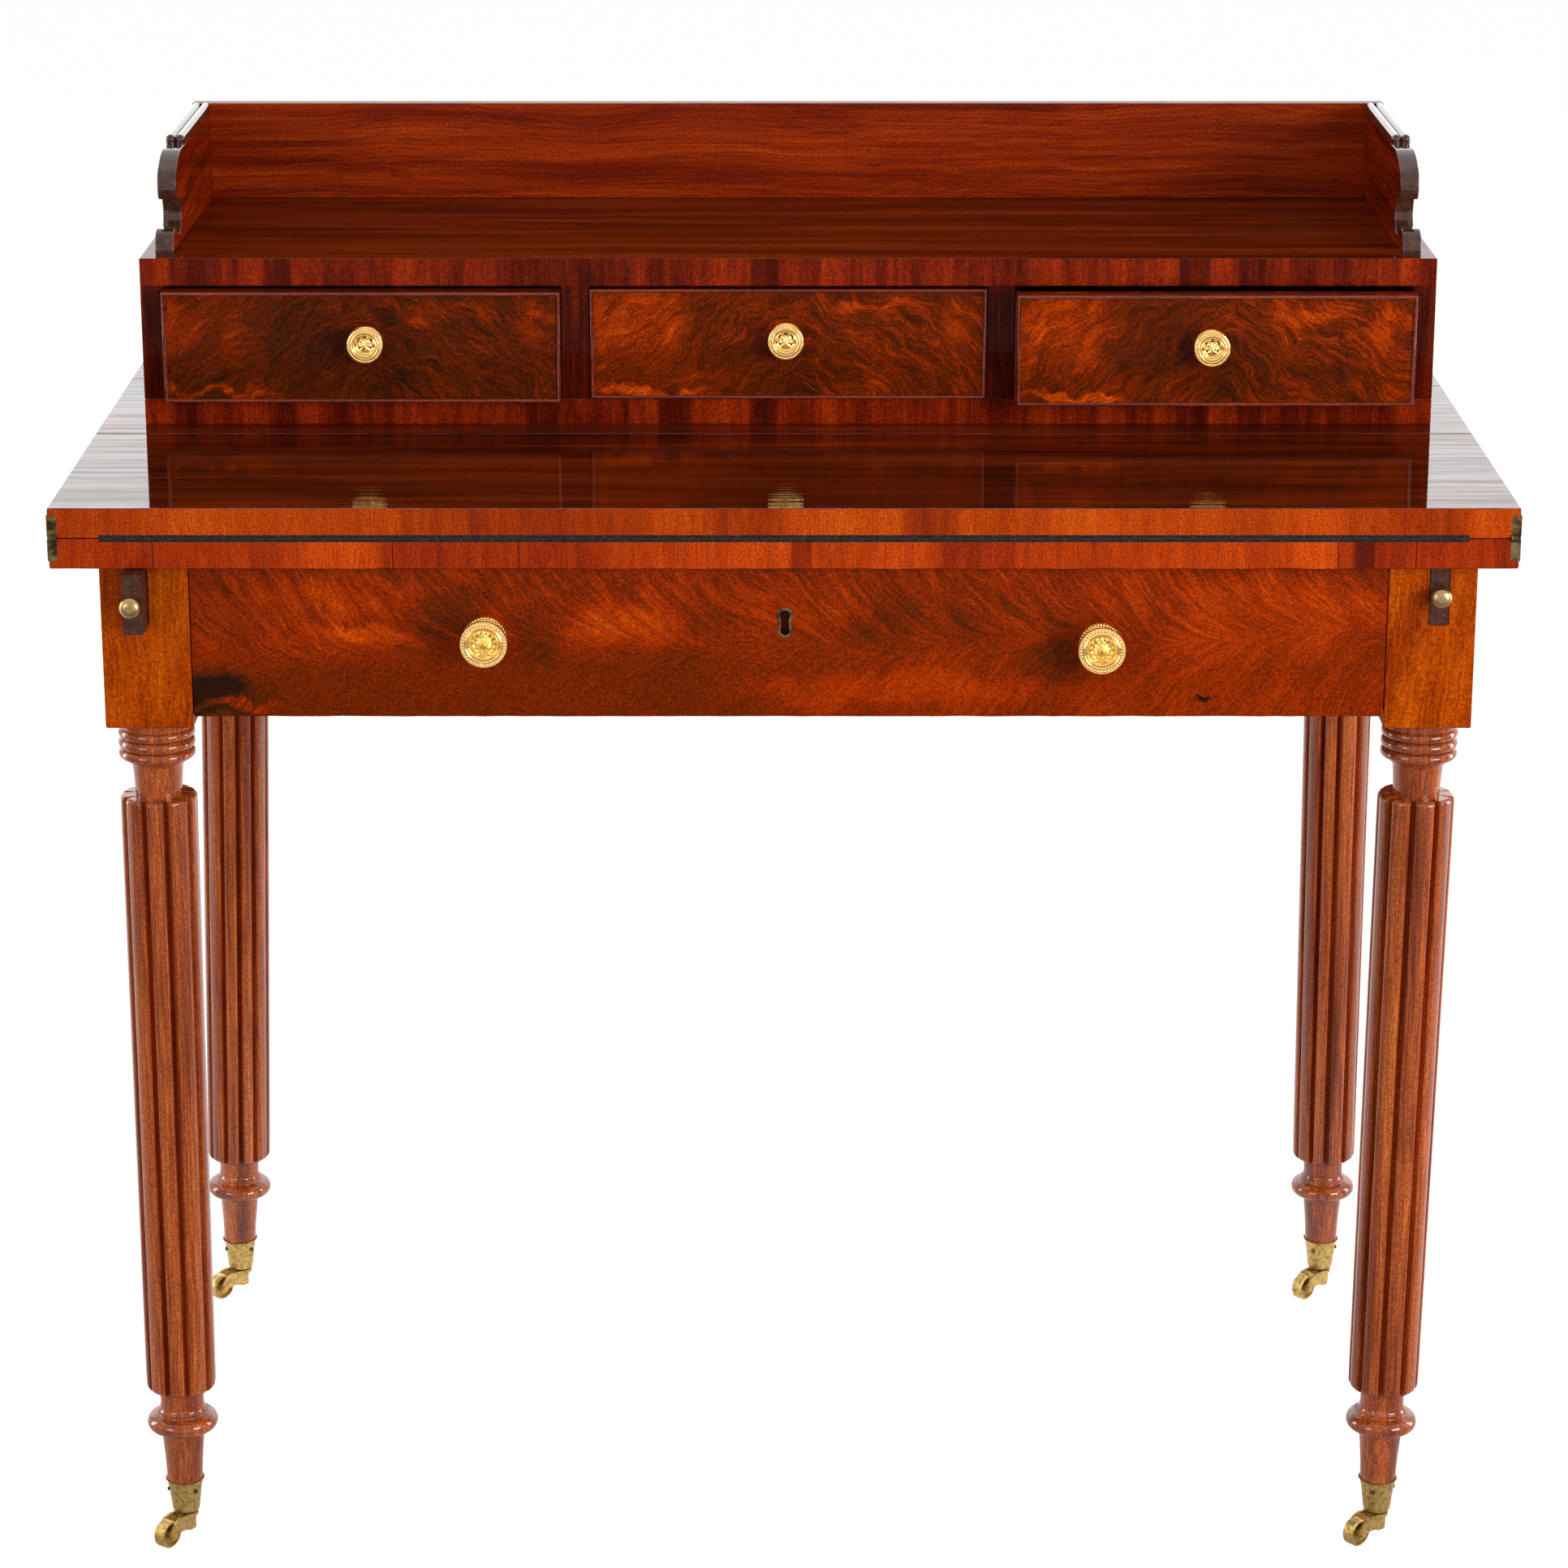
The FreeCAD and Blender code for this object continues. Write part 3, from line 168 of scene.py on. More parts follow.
@dataclass(frozen=True)
class Polish:
    """French polish: many thin coats of shellac, which look like clear glass over the wood.

    A fresh coat mirrors its surroundings, and an old, hand-worn one only glows softly. Ripples
    in the coat stretch its reflections, and streaks leave them out where the coat has worn."""

    roughness: float = 0.34
    coat: float = 0.6
    coat_roughness: float = 0.08
    specular: float = 0.3
    bump: float = 0.25
    relief_mm: float = 0.2
    pore_roughness: tuple = (0.1, -0.06)
    ripple: float = 0.0
    ripple_relief_mm: float = 0.3
    ripples_per_m: tuple = (7.0, 170.0, 7.0)
    streak: float = 0.3
    streak_range: tuple = (0.35, 0.6)

    def finish(self, material: Material, tree: Tree, colour: Socket, height: Socket,
               worn: tuple = ()) -> Material:
        """Joins a wood's colour and relief to the shader.

        Args:
            material: The material to finish.
            tree: Its node tree.
            colour: The socket of the wood's colour.
            height: The socket of the wood's relief, from 0 to 1.
            worn: The node that is 1 where the full coat is, and the coat elsewhere.

        Returns:
            The material.
        """
        bump = add(
            tree, "Bump", {"Strength": self.bump, "Distance": self.relief_mm * MM, "Height": height},
        )
        least, most = (self.roughness + more for more in self.pore_roughness)
        rough = add(tree, "MapRange", {"Value": height, "To Min": least, "To Max": most})
        shader = add(
            tree, "BsdfPrincipled",
            {
                "Base Color": colour, "Roughness": rough, "Normal": bump,
                "Specular IOR Level": self.specular, "Coat Weight": self.coat,
                "Coat Roughness": self.coat_roughness, "Coat IOR": 1.52,
            },
        )
        if self.ripple:
            place = add(tree, "TexCoord").outputs["Object"]
            drawn = add(tree, "VectorMath", {0: place, 1: self.ripples_per_m}, operation="MULTIPLY")
            waves = add(tree, "TexNoise", {"Vector": drawn, "Scale": 1.0, "Detail": 4.0})
            reach = self.ripple_relief_mm * MM
            skin = add(tree, "Bump", {"Strength": self.ripple, "Distance": reach, "Height": waves})
            tree.links.new(skin.outputs[0], shader.inputs["Coat Normal"])
            low, high = self.streak_range
            coat = add(
                tree, "MapRange",
                {
                    "Value": waves, "From Min": low, "From Max": high,
                    "To Min": 1 - self.streak, "To Max": 1.0,
                },
            )
            tree.links.new(coat.outputs[0], shader.inputs["Coat Weight"])
        if worn:
            weight = shader.inputs["Coat Weight"]
            full = weight.links[0].from_socket if weight.links else self.coat
            coat = add(tree, "Mix", {0: worn[0], 2: worn[1], 3: full})
            tree.links.new(coat.outputs[0], weight)
        add(tree, "OutputMaterial", {"Surface": shader})
        return material


@dataclass(frozen=True)
class Mahogany:
    """Cuban mahogany in straight or gently waved grain.

    The eye sees a red-brown ground with long darker and lighter bands, fine lines along the
    grain and short dark pores. Real pores are about 0.2 mm wide; here they are drawn at 0.6 mm
    or more, because finer ones don't show."""

    name: str
    stops: tuple
    axis: Axis = Axis.X
    band_mm: tuple = (260.0, 16.0)
    fibre_mm: tuple = (70.0, 1.6)
    pore_mm: tuple = (7.0, 0.6)
    pore_range: tuple = (0.56, 0.7)
    pore_depth: float = 0.35
    fibre_share: float = 0.4
    gain: float = 2.0
    fleck_mm: float = 1.5
    fleck: float = 0.35
    wave_mm: float = 3.0
    waves_per_m: float = 9.0
    seed: float = 0.0
    lift: float = 0.0
    polish: Polish = Polish()

    def stretched(self, tree: Tree, place: Socket, size_mm: tuple, detail: float, seed: float) -> Socket:
        """Noise drawn out along the grain.

        Args:
            tree: The node tree.
            place: The socket of the surface's place in metres.
            size_mm: The pattern's length along the grain and its width across it.
            detail: How many finer layers it has.
            seed: Which cut of the log it comes from.

        Returns:
            The socket of a value round 0.5.
        """
        along, across = (1 / (MM * size) for size in size_mm)
        scale = [across] * 3
        scale[self.axis.value] = along
        spot = add(
            tree, "VectorMath", {0: place, 1: scale, 2: (seed, seed * 1.7, -seed)},
            operation="MULTIPLY_ADD",
        )
        return add(tree, "TexNoise", {"Vector": spot, "Scale": 1.0, "Detail": detail}).outputs[0]

    def waved(self, tree: Tree, place: Socket) -> Socket:
        """The surface's place, shifted a little so that the grain waves.

        Args:
            tree: The node tree.
            place: The socket of the surface's place in metres.

        Returns:
            The socket of the shifted place.
        """
        drift = add(tree, "TexNoise", {"Vector": place, "Scale": self.waves_per_m, "Detail": 1.5})
        centred = add(
            tree, "VectorMath", {0: drift.outputs["Color"], 1: (0.5, 0.5, 0.5)},
            operation="SUBTRACT",
        )
        size = self.wave_mm * MM * 2
        moved = add(
            tree, "VectorMath", {0: centred, 1: (size, size, size), 2: place},
            operation="MULTIPLY_ADD",
        )
        return moved.outputs[0]

    def shade(self, tree: Tree, place: Socket) -> tuple:
        """How light the wood is at each place, before its pores.

        Args:
            tree: The node tree.
            place: The socket of the surface's place in metres.

        Returns:
            The socket of the shade, and that of the fine lines alone.
        """
        spot = self.waved(tree, place)
        band = self.stretched(tree, spot, self.band_mm, 3, self.seed)
        fibre = self.stretched(tree, spot, self.fibre_mm, 4, self.seed + 3)
        shade = add(tree, "Mix", {0: self.fibre_share, 2: band, 3: fibre})
        return shade.outputs[0], fibre

    def grain(self, tree: Tree, place: Socket) -> tuple:
        """The wood's colour and relief.

        Args:
            tree: The node tree.
            place: The socket of the surface's place in metres.

        Returns:
            The sockets of the colour and of the relief.
        """
        shade, fibre = self.shade(tree, place)
        middle, half = 0.5 - self.lift, 0.5 / self.gain
        shade = add(
            tree, "MapRange", {"Value": shade, "From Min": middle - half, "From Max": middle + half},
        )
        colour = add(tree, "ValToRGB", {0: shade}, self.stops)
        specks = add(
            tree, "TexNoise", {"Vector": place, "Scale": 1 / (self.fleck_mm * MM), "Detail": 1.0},
        )
        fleck = add(
            tree, "MapRange",
            {
                "Value": specks, "From Min": 0.3, "From Max": 0.7,
                "To Min": 1 - self.fleck, "To Max": 1 + self.fleck,
            },
        )
        pores = self.stretched(tree, place, self.pore_mm, 1, self.seed + 7)
        depth = add(
            tree, "MapRange",
            {
                "Value": pores, "From Min": self.pore_range[0], "From Max": self.pore_range[1],
                "To Min": 1.0, "To Max": 1 - self.pore_depth,
            },
        )
        light = add(tree, "Math", {0: fleck, 1: depth}, operation="MULTIPLY")
        darker = add(tree, "VectorMath", {0: colour, 3: light}, operation="SCALE")
        relief = add(tree, "Math", {0: fibre, 1: depth}, operation="MULTIPLY")
        return darker.outputs[0], relief.outputs[0]

    def material(self) -> Material:
        """Makes the material.

        Returns:
            The material.
        """
        material, tree = new_material(self.name)
        place = add(tree, "TexCoord").outputs["Object"]
        colour, height = self.grain(tree, place)
        return self.polish.finish(material, tree, colour, height)


@dataclass(frozen=True)
class Crossband(Mahogany):
    """Crossbanding: short pieces of veneer laid side by side along an edge, grain upright.

    The eye sees a row of blocks from 10 to 80 mm long, each of its own shade, with thin dark
    joints between some of them."""

    block_mm: float = 42.0
    block_share: float = 0.5
    joints: tuple = ()
    run: Axis = Axis.X
    axis: Axis = Axis.Z
    band_mm: tuple = (60.0, 9.0)
    fibre_mm: tuple = (26.0, 0.9)
    wave_mm: float = 1.0

    def shade(self, tree: Tree, place: Socket) -> tuple:
        """How light the veneer is, block by block.

        Args:
            tree: The node tree.
            place: The socket of the surface's place in metres.

        Returns:
            The socket of the shade, and that of the fine lines alone.
        """
        plain, fibre = Mahogany.shade(self, tree, place)
        parts = add(tree, "SeparateXYZ", {0: place})
        count = add(
            tree, "Math", {0: parts.outputs[self.run.value], 1: 1 / (self.block_mm * MM), 2: self.seed},
            operation="MULTIPLY_ADD",
        )
        blocks = add(
            tree, "TexVoronoi", {"W": count, "Scale": 1.0, "Randomness": 1.0, "Smoothness": 0.35},
            voronoi_dimensions="1D", feature="SMOOTH_F1",
        )
        block = add(tree, "SeparateColor", {0: blocks.outputs["Color"]})
        level = add(tree, "MapRange", {"Value": block, "To Min": 0.3, "To Max": 0.7})
        shade = add(tree, "Mix", {0: self.block_share, 2: plain, 3: level})
        for middle, half, amount in self.joints:
            near = add(
                tree, "Math", {0: parts.outputs[self.run.value], 1: middle * MM, 2: half * MM},
                operation="COMPARE",
            )
            shade = add(tree, "Math", {0: near, 1: amount, 2: shade}, operation="MULTIPLY_ADD")
        return shade.outputs[0], fibre


@dataclass(frozen=True)
class Flame(Mahogany):
    """Flame veneer, cut through the fork of a trunk.

    The eye sees a feather: bright barbs leave a level or upright shaft and sweep away from it,
    over brown, cloudy ground with a few black knots. The sizes of barbs, hairs and chips are
    their lengths and widths, and those of swirls, curls and rags are how long a wave is and how
    far it pushes the figure. A patch is its middle x and z, half its width and height, and how
    much lighter it is."""

    shaft_mm: float = 680.0
    shaft_rise: float = 0.0
    lean_mm: float = 300.0
    bend: float = 0.5
    upright: bool = False
    middle_mm: float = 0.0
    patches: tuple = ()
    broad_mm: tuple = (60.0, 11.0)
    barb_mm: tuple = (30.0, 3.0)
    hair_mm: tuple = (15.0, 1.2)
    chip_mm: tuple = (22.0, 7.0)
    swirl_mm: tuple = (105.0, 34.0)
    curl_mm: tuple = (15.0, 5.0)
    rag_mm: tuple = (24.0, 34.0)
    cloud_mm: float = 60.0
    broad_share: float = 0.42
    chip_share: float = 0.1
    barb_share: float = 0.35
    hair_share: float = 0.26
    gain: float = 2.3
    level: float = 0.0
    shaft_edge_mm: tuple = (-14.0, 6.0)
    sides_mm: tuple = (-60.0, 60.0)
    below_share: tuple = (0.2, 0.6)
    below_dim: tuple = (0.05, 0.0)
    patch_edge: tuple = (0.4, 1.2)
    patch_streak: tuple = (0.4, 0.68)
    patch_streak_least: float = 0.3

    def swirled(self, tree: Tree, place: Socket, size_mm: tuple, seed: float) -> Socket:
        """The surface's place, pushed about by a cloudy pattern.

        Args:
            tree: The node tree.
            place: The socket of the place in metres.
            size_mm: The size of the pattern, and how far it pushes.
            seed: Which pattern.

        Returns:
            The socket of the shifted place.
        """
        size, reach = (v * MM for v in size_mm)
        moved = add(tree, "VectorMath", {0: place, 1: (seed, 0.0, seed)}, operation="ADD")
        drift = add(tree, "TexNoise", {"Vector": moved, "Scale": 1 / size, "Detail": 2.0})
        centred = add(
            tree, "VectorMath", {0: drift.outputs["Color"], 1: (0.5, 0.5, 0.5)}, operation="SUBTRACT",
        )
        pushed = add(
            tree, "VectorMath", {0: centred, 1: (reach, reach, reach), 2: place}, operation="MULTIPLY_ADD",
        )
        return pushed.outputs[0]

    def feather(self, tree: Tree, place: Socket) -> tuple:
        """How a place lies in the feather.

        Args:
            tree: The node tree.
            place: The socket of the place in metres.

        Returns:
            The sockets of the place along the shaft, of how far it is from the shaft, and of the
            place where its barb leaves the shaft.
        """
        parts = add(tree, "SeparateXYZ", {0: place})
        along, across = parts.outputs[0], parts.outputs[2]
        if self.upright:
            along, across = across, along
        shaft = add(
            tree, "Math", {0: along, 1: self.shaft_rise, 2: self.shaft_mm * MM}, operation="MULTIPLY_ADD",
        )
        away = add(tree, "Math", {0: across, 1: shaft}, operation="SUBTRACT").outputs[0]
        far = add(tree, "Math", {0: away}, operation="ABSOLUTE")
        bend = add(tree, "Math", {0: far, 1: self.bend}, operation="POWER")
        root = add(
            tree, "Math", {0: bend, 1: self.lean_mm * MM, 2: along}, operation="MULTIPLY_ADD",
        )
        return along, away, root.outputs[0]

    def flow(self, tree: Tree, away: Socket, root: Socket, size_mm: tuple, seed: float) -> Node:
        """A place in a pattern that follows the barbs.

        Args:
            tree: The node tree.
            away: The socket of the distance from the shaft.
            root: The socket of the place where the barb leaves the shaft.
            size_mm: The pattern's length and width.
            seed: Which pattern.

        Returns:
            The node of the place.
        """
        length, width = (v * MM for v in size_mm)
        across = add(tree, "Math", {0: root, 1: 1 / width}, operation="MULTIPLY")
        along = add(tree, "Math", {0: away, 1: 1 / length}, operation="MULTIPLY")
        return add(tree, "CombineXYZ", {0: across, 1: along, 2: seed})

    def shade(self, tree: Tree, place: Socket) -> tuple:
        """How light the veneer is, barb by barb.

        Args:
            tree: The node tree.
            place: The socket of the surface's place in metres.

        Returns:
            The socket of the shade, and that of the fine lines alone.
        """
        middle = (self.middle_mm * MM, 0.0, 0.0)
        own = add(tree, "VectorMath", {0: place, 1: middle}, operation="SUBTRACT").outputs[0]
        curled = self.swirled(tree, own, self.curl_mm, self.seed + 4)
        along, away, root = self.feather(tree, self.swirled(tree, curled, self.swirl_mm, self.seed))
        layers = []
        for k, size in enumerate((self.broad_mm, self.barb_mm, self.hair_mm)):
            spot = self.flow(tree, away, root, size, self.seed + 5.0 * k)
            layer = add(tree, "TexNoise", {"Vector": spot, "Scale": 1.0, "Detail": 4.0 - k})
            layers.append(layer.outputs[0])
        broad, barb, hair = layers
        moved = add(tree, "VectorMath", {0: curled, 1: (self.seed, 0.0, self.seed)}, operation="ADD")
        clouds = add(
            tree, "TexNoise", {"Vector": moved, "Scale": 1 / (self.cloud_mm * MM), "Detail": 5.0},
        )
        spot = self.flow(tree, away, root, self.chip_mm, self.seed)
        cells = add(tree, "TexVoronoi", {"Vector": spot, "Scale": 1.0, "Randomness": 1.0})
        chips = add(tree, "SeparateColor", {0: cells.outputs["Color"]})
        shade = add(tree, "Mix", {0: self.broad_share, 2: clouds, 3: broad})
        for share, layer in ((self.chip_share, chips), (self.barb_share, barb), (self.hair_share, hair)):
            shade = add(tree, "Mix", {0: share, 2: shade, 3: layer})
        shade = self.quieted(tree, shade, along, away)
        rags = self.swirled(tree, curled, self.rag_mm, self.seed + 9)
        return self.patched(tree, shade, rags, barb), hair

    def quieted(self, tree: Tree, shade: Node, along: Socket, away: Socket) -> Node:
        """The shade with less contrast on one side of the shaft, and with the veneer's own level.

        Args:
            tree: The node tree.
            shade: The node of the shade.
            along: The socket of the place along the shaft.
            away: The socket of the distance from the shaft.

        Returns:
            The node of the shade.
        """
        start, end = (v * MM for v in self.shaft_edge_mm)
        above = add(tree, "MapRange", {"Value": away, "From Min": start, "From Max": end})
        start, end = (v * MM for v in self.sides_mm)
        sides = {"Value": along, "From Min": start, "From Max": end}
        left, right = self.below_share
        share = add(tree, "MapRange", {**sides, "To Min": left, "To Max": right})
        left, right = self.below_dim
        dim = add(tree, "MapRange", {**sides, "To Min": -left, "To Max": -right})
        held = add(tree, "Mix", {0: above, 2: share, 3: 1.0})
        lowered = add(tree, "Mix", {0: above, 2: dim, 3: 0.0})
        centred = add(tree, "Math", {0: shade, 1: 0.5}, operation="SUBTRACT")
        lifted = add(tree, "Math", {0: lowered, 1: 0.5 + self.level}, operation="ADD")
        return add(tree, "Math", {0: centred, 1: held, 2: lifted}, operation="MULTIPLY_ADD")

    def patched(self, tree: Tree, shade: Node, place: Socket, barb: Socket) -> Socket:
        """The shade with its light and dark patches, of which the light ones are streaky.

        Args:
            tree: The node tree.
            shade: The node of the shade.
            place: The socket of the place, pushed about so that the patches are ragged.
            barb: The socket of the barbs' pattern.

        Returns:
            The socket of the shade.
        """
        low, high = self.patch_streak
        least = self.patch_streak_least
        streaky = add(
            tree, "MapRange",
            {"Value": barb, "From Min": low, "From Max": high, "To Min": 1.0, "To Max": least},
        )
        inner, outer = self.patch_edge
        for x, z, half_width, half_height, amount in self.patches:
            offset = add(tree, "VectorMath", {0: place, 1: (x * MM, 0.0, z * MM)}, operation="SUBTRACT")
            scale = (1 / (half_width * MM), 0.0, 1 / (half_height * MM))
            scaled = add(tree, "VectorMath", {0: offset, 1: scale}, operation="MULTIPLY")
            reach = add(tree, "VectorMath", {0: scaled}, operation="LENGTH").outputs["Value"]
            level = add(
                tree, "MapRange",
                {"Value": reach, "From Min": inner, "From Max": outer, "To Min": amount, "To Max": 0.0},
                interpolation_type="SMOOTHSTEP",
            )
            weight = streaky if amount > 0 else 1.0
            shade = add(tree, "Math", {0: level, 1: weight, 2: shade}, operation="MULTIPLY_ADD")
        return shade.outputs[0]


@dataclass(frozen=True)
class BandedBoard:
    """A board of lengthwise grain whose upright edges are crossbanded."""

    name: str
    face: Mahogany
    edge: Mahogany
    side: Mahogany
    polish: Polish
    edge_coat: float = 0.08
    facing: float = 0.6

    def material(self) -> Material:
        """Makes the material: flat faces take the face's wood, and upright ones the edge's.

        Returns:
            The material.
        """
        material, tree = new_material(self.name)
        found = add(tree, "TexCoord")
        place = found.outputs["Object"]
        way = add(tree, "VectorMath", {0: found.outputs["Normal"]}, operation="ABSOLUTE")
        parts = add(tree, "SeparateXYZ", {0: way})
        level = add(tree, "Math", {0: parts.outputs[2], 1: self.facing}, operation="GREATER_THAN")
        sideways = add(tree, "Math", {0: parts.outputs[0], 1: self.facing}, operation="GREATER_THAN")
        colour, height = self.edge.grain(tree, place)
        for mask, wood in ((sideways, self.side), (level, self.face)):
            own, relief = wood.grain(tree, place)
            colour = add(tree, "MixRGB", {0: mask, 1: colour, 2: own}).outputs[0]
            height = add(tree, "Mix", {0: mask, 2: height, 3: relief}).outputs[0]
        return self.polish.finish(material, tree, colour, height, (level, self.edge_coat))


@dataclass(frozen=True)
class Brass:
    """Cast or stamped brass, whose colour comes from its reflections.

    Gilt brass is bright yellow with dark brown in its hollows, and aged brass is a dull
    olive-brown that still shines where it is rubbed."""

    name: str
    bright: str
    dark: str
    roughness: float
    stain_mm: float = 6.0
    stain: tuple = (0.45, 0.7)
    hollow: float = 0.5
    hollow_range: tuple = (0.5, 0.43)
    grit: float = 0.12
    grits_per_m: float = 900.0
    grit_mm: float = 0.2

    def material(self) -> Material:
        """Makes the material.

        Returns:
            The material.
        """
        material, tree = new_material(self.name)
        place = add(tree, "TexCoord").outputs["Object"]
        cloud = add(tree, "TexNoise", {"Vector": place, "Scale": 1 / (self.stain_mm * MM), "Detail": 5.0})
        stained = add(
            tree, "MapRange", {"Value": cloud, "From Min": self.stain[0], "From Max": self.stain[1]},
        )
        bent = add(tree, "NewGeometry").outputs["Pointiness"]
        flat, deep = self.hollow_range
        hollow = add(
            tree, "MapRange",
            {"Value": bent, "From Min": flat, "From Max": deep, "To Min": 0.0, "To Max": self.hollow},
        )
        both = add(tree, "Math", {0: stained, 1: hollow}, operation="MAXIMUM")
        colour = add(
            tree, "MixRGB", {0: both, 1: linear(self.bright), 2: linear(self.dark)},
        )
        rough = add(
            tree, "MapRange",
            {"Value": both, "To Min": self.roughness, "To Max": self.roughness + 0.25},
        )
        grit = add(tree, "TexNoise", {"Vector": place, "Scale": self.grits_per_m, "Detail": 3.0})
        bump = add(
            tree, "Bump", {"Strength": self.grit, "Distance": self.grit_mm * MM, "Height": grit},
        )
        shader = add(
            tree, "BsdfPrincipled",
            {"Base Color": colour, "Metallic": 1.0, "Roughness": rough, "Normal": bump},
        )
        add(tree, "OutputMaterial", {"Surface": shader})
        return material


@dataclass(frozen=True)
class Baize:
    """Black wool baize: a felted cloth with a short nap.

    The eye sees a matt near-black ground with grey flecks of lint. The flecks are drawn about
    1 mm wide, because single fibres don't show."""

    name: str = "black_wool_baize"
    fleck_mm: float = 1.1

    def material(self) -> Material:
        """Makes the material.

        Returns:
            The material.
        """
        material, tree = new_material(self.name)
        place = add(tree, "TexCoord").outputs["Object"]
        nap = add(tree, "TexNoise", {"Vector": place, "Scale": 1 / (self.fleck_mm * MM), "Detail": 3.0})
        colour = add(
            tree, "ValToRGB", {0: nap},
            ((0.3, "#120f0e"), (0.52, "#231e1c"), (0.66, "#3a332f"), (0.8, "#645a52")),
        )
        bump = add(tree, "Bump", {"Strength": 0.6, "Distance": 0.0004, "Height": nap})
        shader = add(
            tree, "BsdfPrincipled",
            {
                "Base Color": colour, "Roughness": 0.95, "Normal": bump,
                "Specular IOR Level": 0.1, "Sheen Weight": 0.25, "Sheen Roughness": 0.5,
            },
        )
        add(tree, "OutputMaterial", {"Surface": shader})
        return material


@dataclass(frozen=True)
class Iron:
    """Blackened iron of a lock case: dark, with a dull shine and brown rust spots."""

    name: str = "blackened_iron"
    spots_per_m: float = 220.0

    def material(self) -> Material:
        """Makes the material.

        Returns:
            The material.
        """
        material, tree = new_material(self.name)
        place = add(tree, "TexCoord").outputs["Object"]
        rust = add(tree, "TexNoise", {"Vector": place, "Scale": self.spots_per_m, "Detail": 4.0})
        colour = add(
            tree, "ValToRGB", {0: rust}, ((0.4, "#1c1a19"), (0.6, "#2e2925"), (0.75, "#4a3020")),
        )
        shader = add(
            tree, "BsdfPrincipled", {"Base Color": colour, "Metallic": 0.8, "Roughness": 0.55},
        )
        add(tree, "OutputMaterial", {"Surface": shader})
        return material


def stops(places: tuple, colours: str) -> tuple:
    """The stops of a colour ramp: a place from 0 to 1 and a hex colour for each."""
    return tuple(zip(places, colours.split()))


# Where a ramp's stops lie, for the desk's large parts and for its small or plain ones
WOOD = (0.1, 0.35, 0.52, 0.7, 0.92)
PLAIN = (0.1, 0.4, 0.65, 0.92)
LEG_STOPS = stops(WOOD, "#58200a #843612 #a24818 #bc5c20 #d87a30")
# The valleys' stops are lighter than the reeds': painted light that lifts the shade in the leg's valleys
VALLEY_PAINTED_LIGHT_STOPS = stops(WOOD, "#8a3010 #b04618 #c8561e #dc6824 #f08034")
BLOCK_STOPS = stops(WOOD, "#6e2002 #943302 #aa4202 #bd5004 #d06509")
TOP_STOPS = stops(WOOD, "#2c0b05 #481305 #601d05 #7e2b07 #9a3c0b")
BED_STOPS = stops(WOOD, "#601502 #992a03 #b53a03 #d14b05 #ec6410")
EDGE_STOPS = stops(WOOD, "#792102 #9e3202 #b33e03 #c54b05 #d85e0b")
RAIL_STOPS = stops(WOOD, "#360802 #5a1303 #7b1f04 #9a2c05 #b44009")
UPRIGHT_STOPS = stops(WOOD, "#240501 #3c0b02 #521203 #681b03 #7c2705")
BACK_STOPS = stops(WOOD, "#501003 #761d03 #8c2804 #a23606 #b84c0e")
FLAME_STOPS = stops((0.02, 0.16, 0.34, 0.5, 0.66, 0.9), "#2c140a #492008 #6a2201 #872701 #a63201 #cc4c05")
SMALL_STOPS = stops((0.02, 0.2, 0.42, 0.58, 0.74, 0.95), "#2c140a #461a05 #612003 #822801 #ab3801 #da5606")
BEAD_STOPS = stops(PLAIN, "#4c140a #6a200d #822c11 #9c3c17")
LOPER_STOPS = stops(PLAIN, "#2c1812 #42241a #543022 #6c4431")
OAK_STOPS = stops(PLAIN, "#5d3a22 #7a5032 #8f6340 #a67a52")

WORN = Polish(roughness=0.5, coat=0.04, coat_roughness=0.12, specular=0.01)
MIRROR = Polish(roughness=0.5, coat=1.0, coat_roughness=0.02, specular=0.0, bump=0.06, ripple=0.5)
SHELF = Polish(roughness=0.5, coat=0.5, coat_roughness=0.05, specular=0.0)
TURNED = Polish(roughness=0.5, coat=1.0, coat_roughness=0.03, specular=0.0)
THIN = Polish(coat=0.12, coat_roughness=0.1, specular=0.04)
HANDLED = Polish(roughness=0.5, coat=0.2, coat_roughness=0.25, specular=0.1)
DRY = Polish(roughness=0.7, coat=0.0, specular=0.15, bump=0.4)

# Light and dark veneer patches, and painted knob shadows: middle x and z, half width and height, how much
# lighter
FRIEZE_PATCHES_AND_KNOB_SHADOWS = (
    (-388.0, 646.0, 40.0, 20.0, -0.17),
    (-376.0, 640.0, 30.0, 5.0, 0.26),
    # Painted shadows beside the frieze's knobs, partly the veneer's own darker figure
    (-225.0, 712.0, 26.0, 20.0, -0.08),
    (-168.0, 690.0, 22.0, 18.0, -0.08),
    (-288.0, 688.0, 46.0, 9.0, 0.12),
    (-120.0, 694.0, 70.0, 16.0, 0.08),
    (-300.0, 716.0, 90.0, 16.0, 0.05),
    (70.0, 650.0, 120.0, 14.0, 0.1),
    # A painted shadow beside the right knob, partly the veneer's own darker figure
    (185.0, 668.0, 26.0, 22.0, -0.08),
    (96.0, 696.0, 60.0, 20.0, -0.05),
    (330.0, 700.0, 90.0, 34.0, 0.07),
    (287.0, 641.0, 5.0, 3.0, -0.25),
)
SMALL_PATCHES = (
    (-108.0, 852.0, 44.0, 34.0, 0.12),
    (-100.0, 806.0, 50.0, 4.0, 0.2),
    (-42.0, 836.0, 34.0, 44.0, -0.03),
    (8.0, 832.0, 44.0, 30.0, -0.04),
    (66.0, 866.0, 40.0, 10.0, 0.12),
    (122.0, 858.0, 18.0, 20.0, 0.09),
)
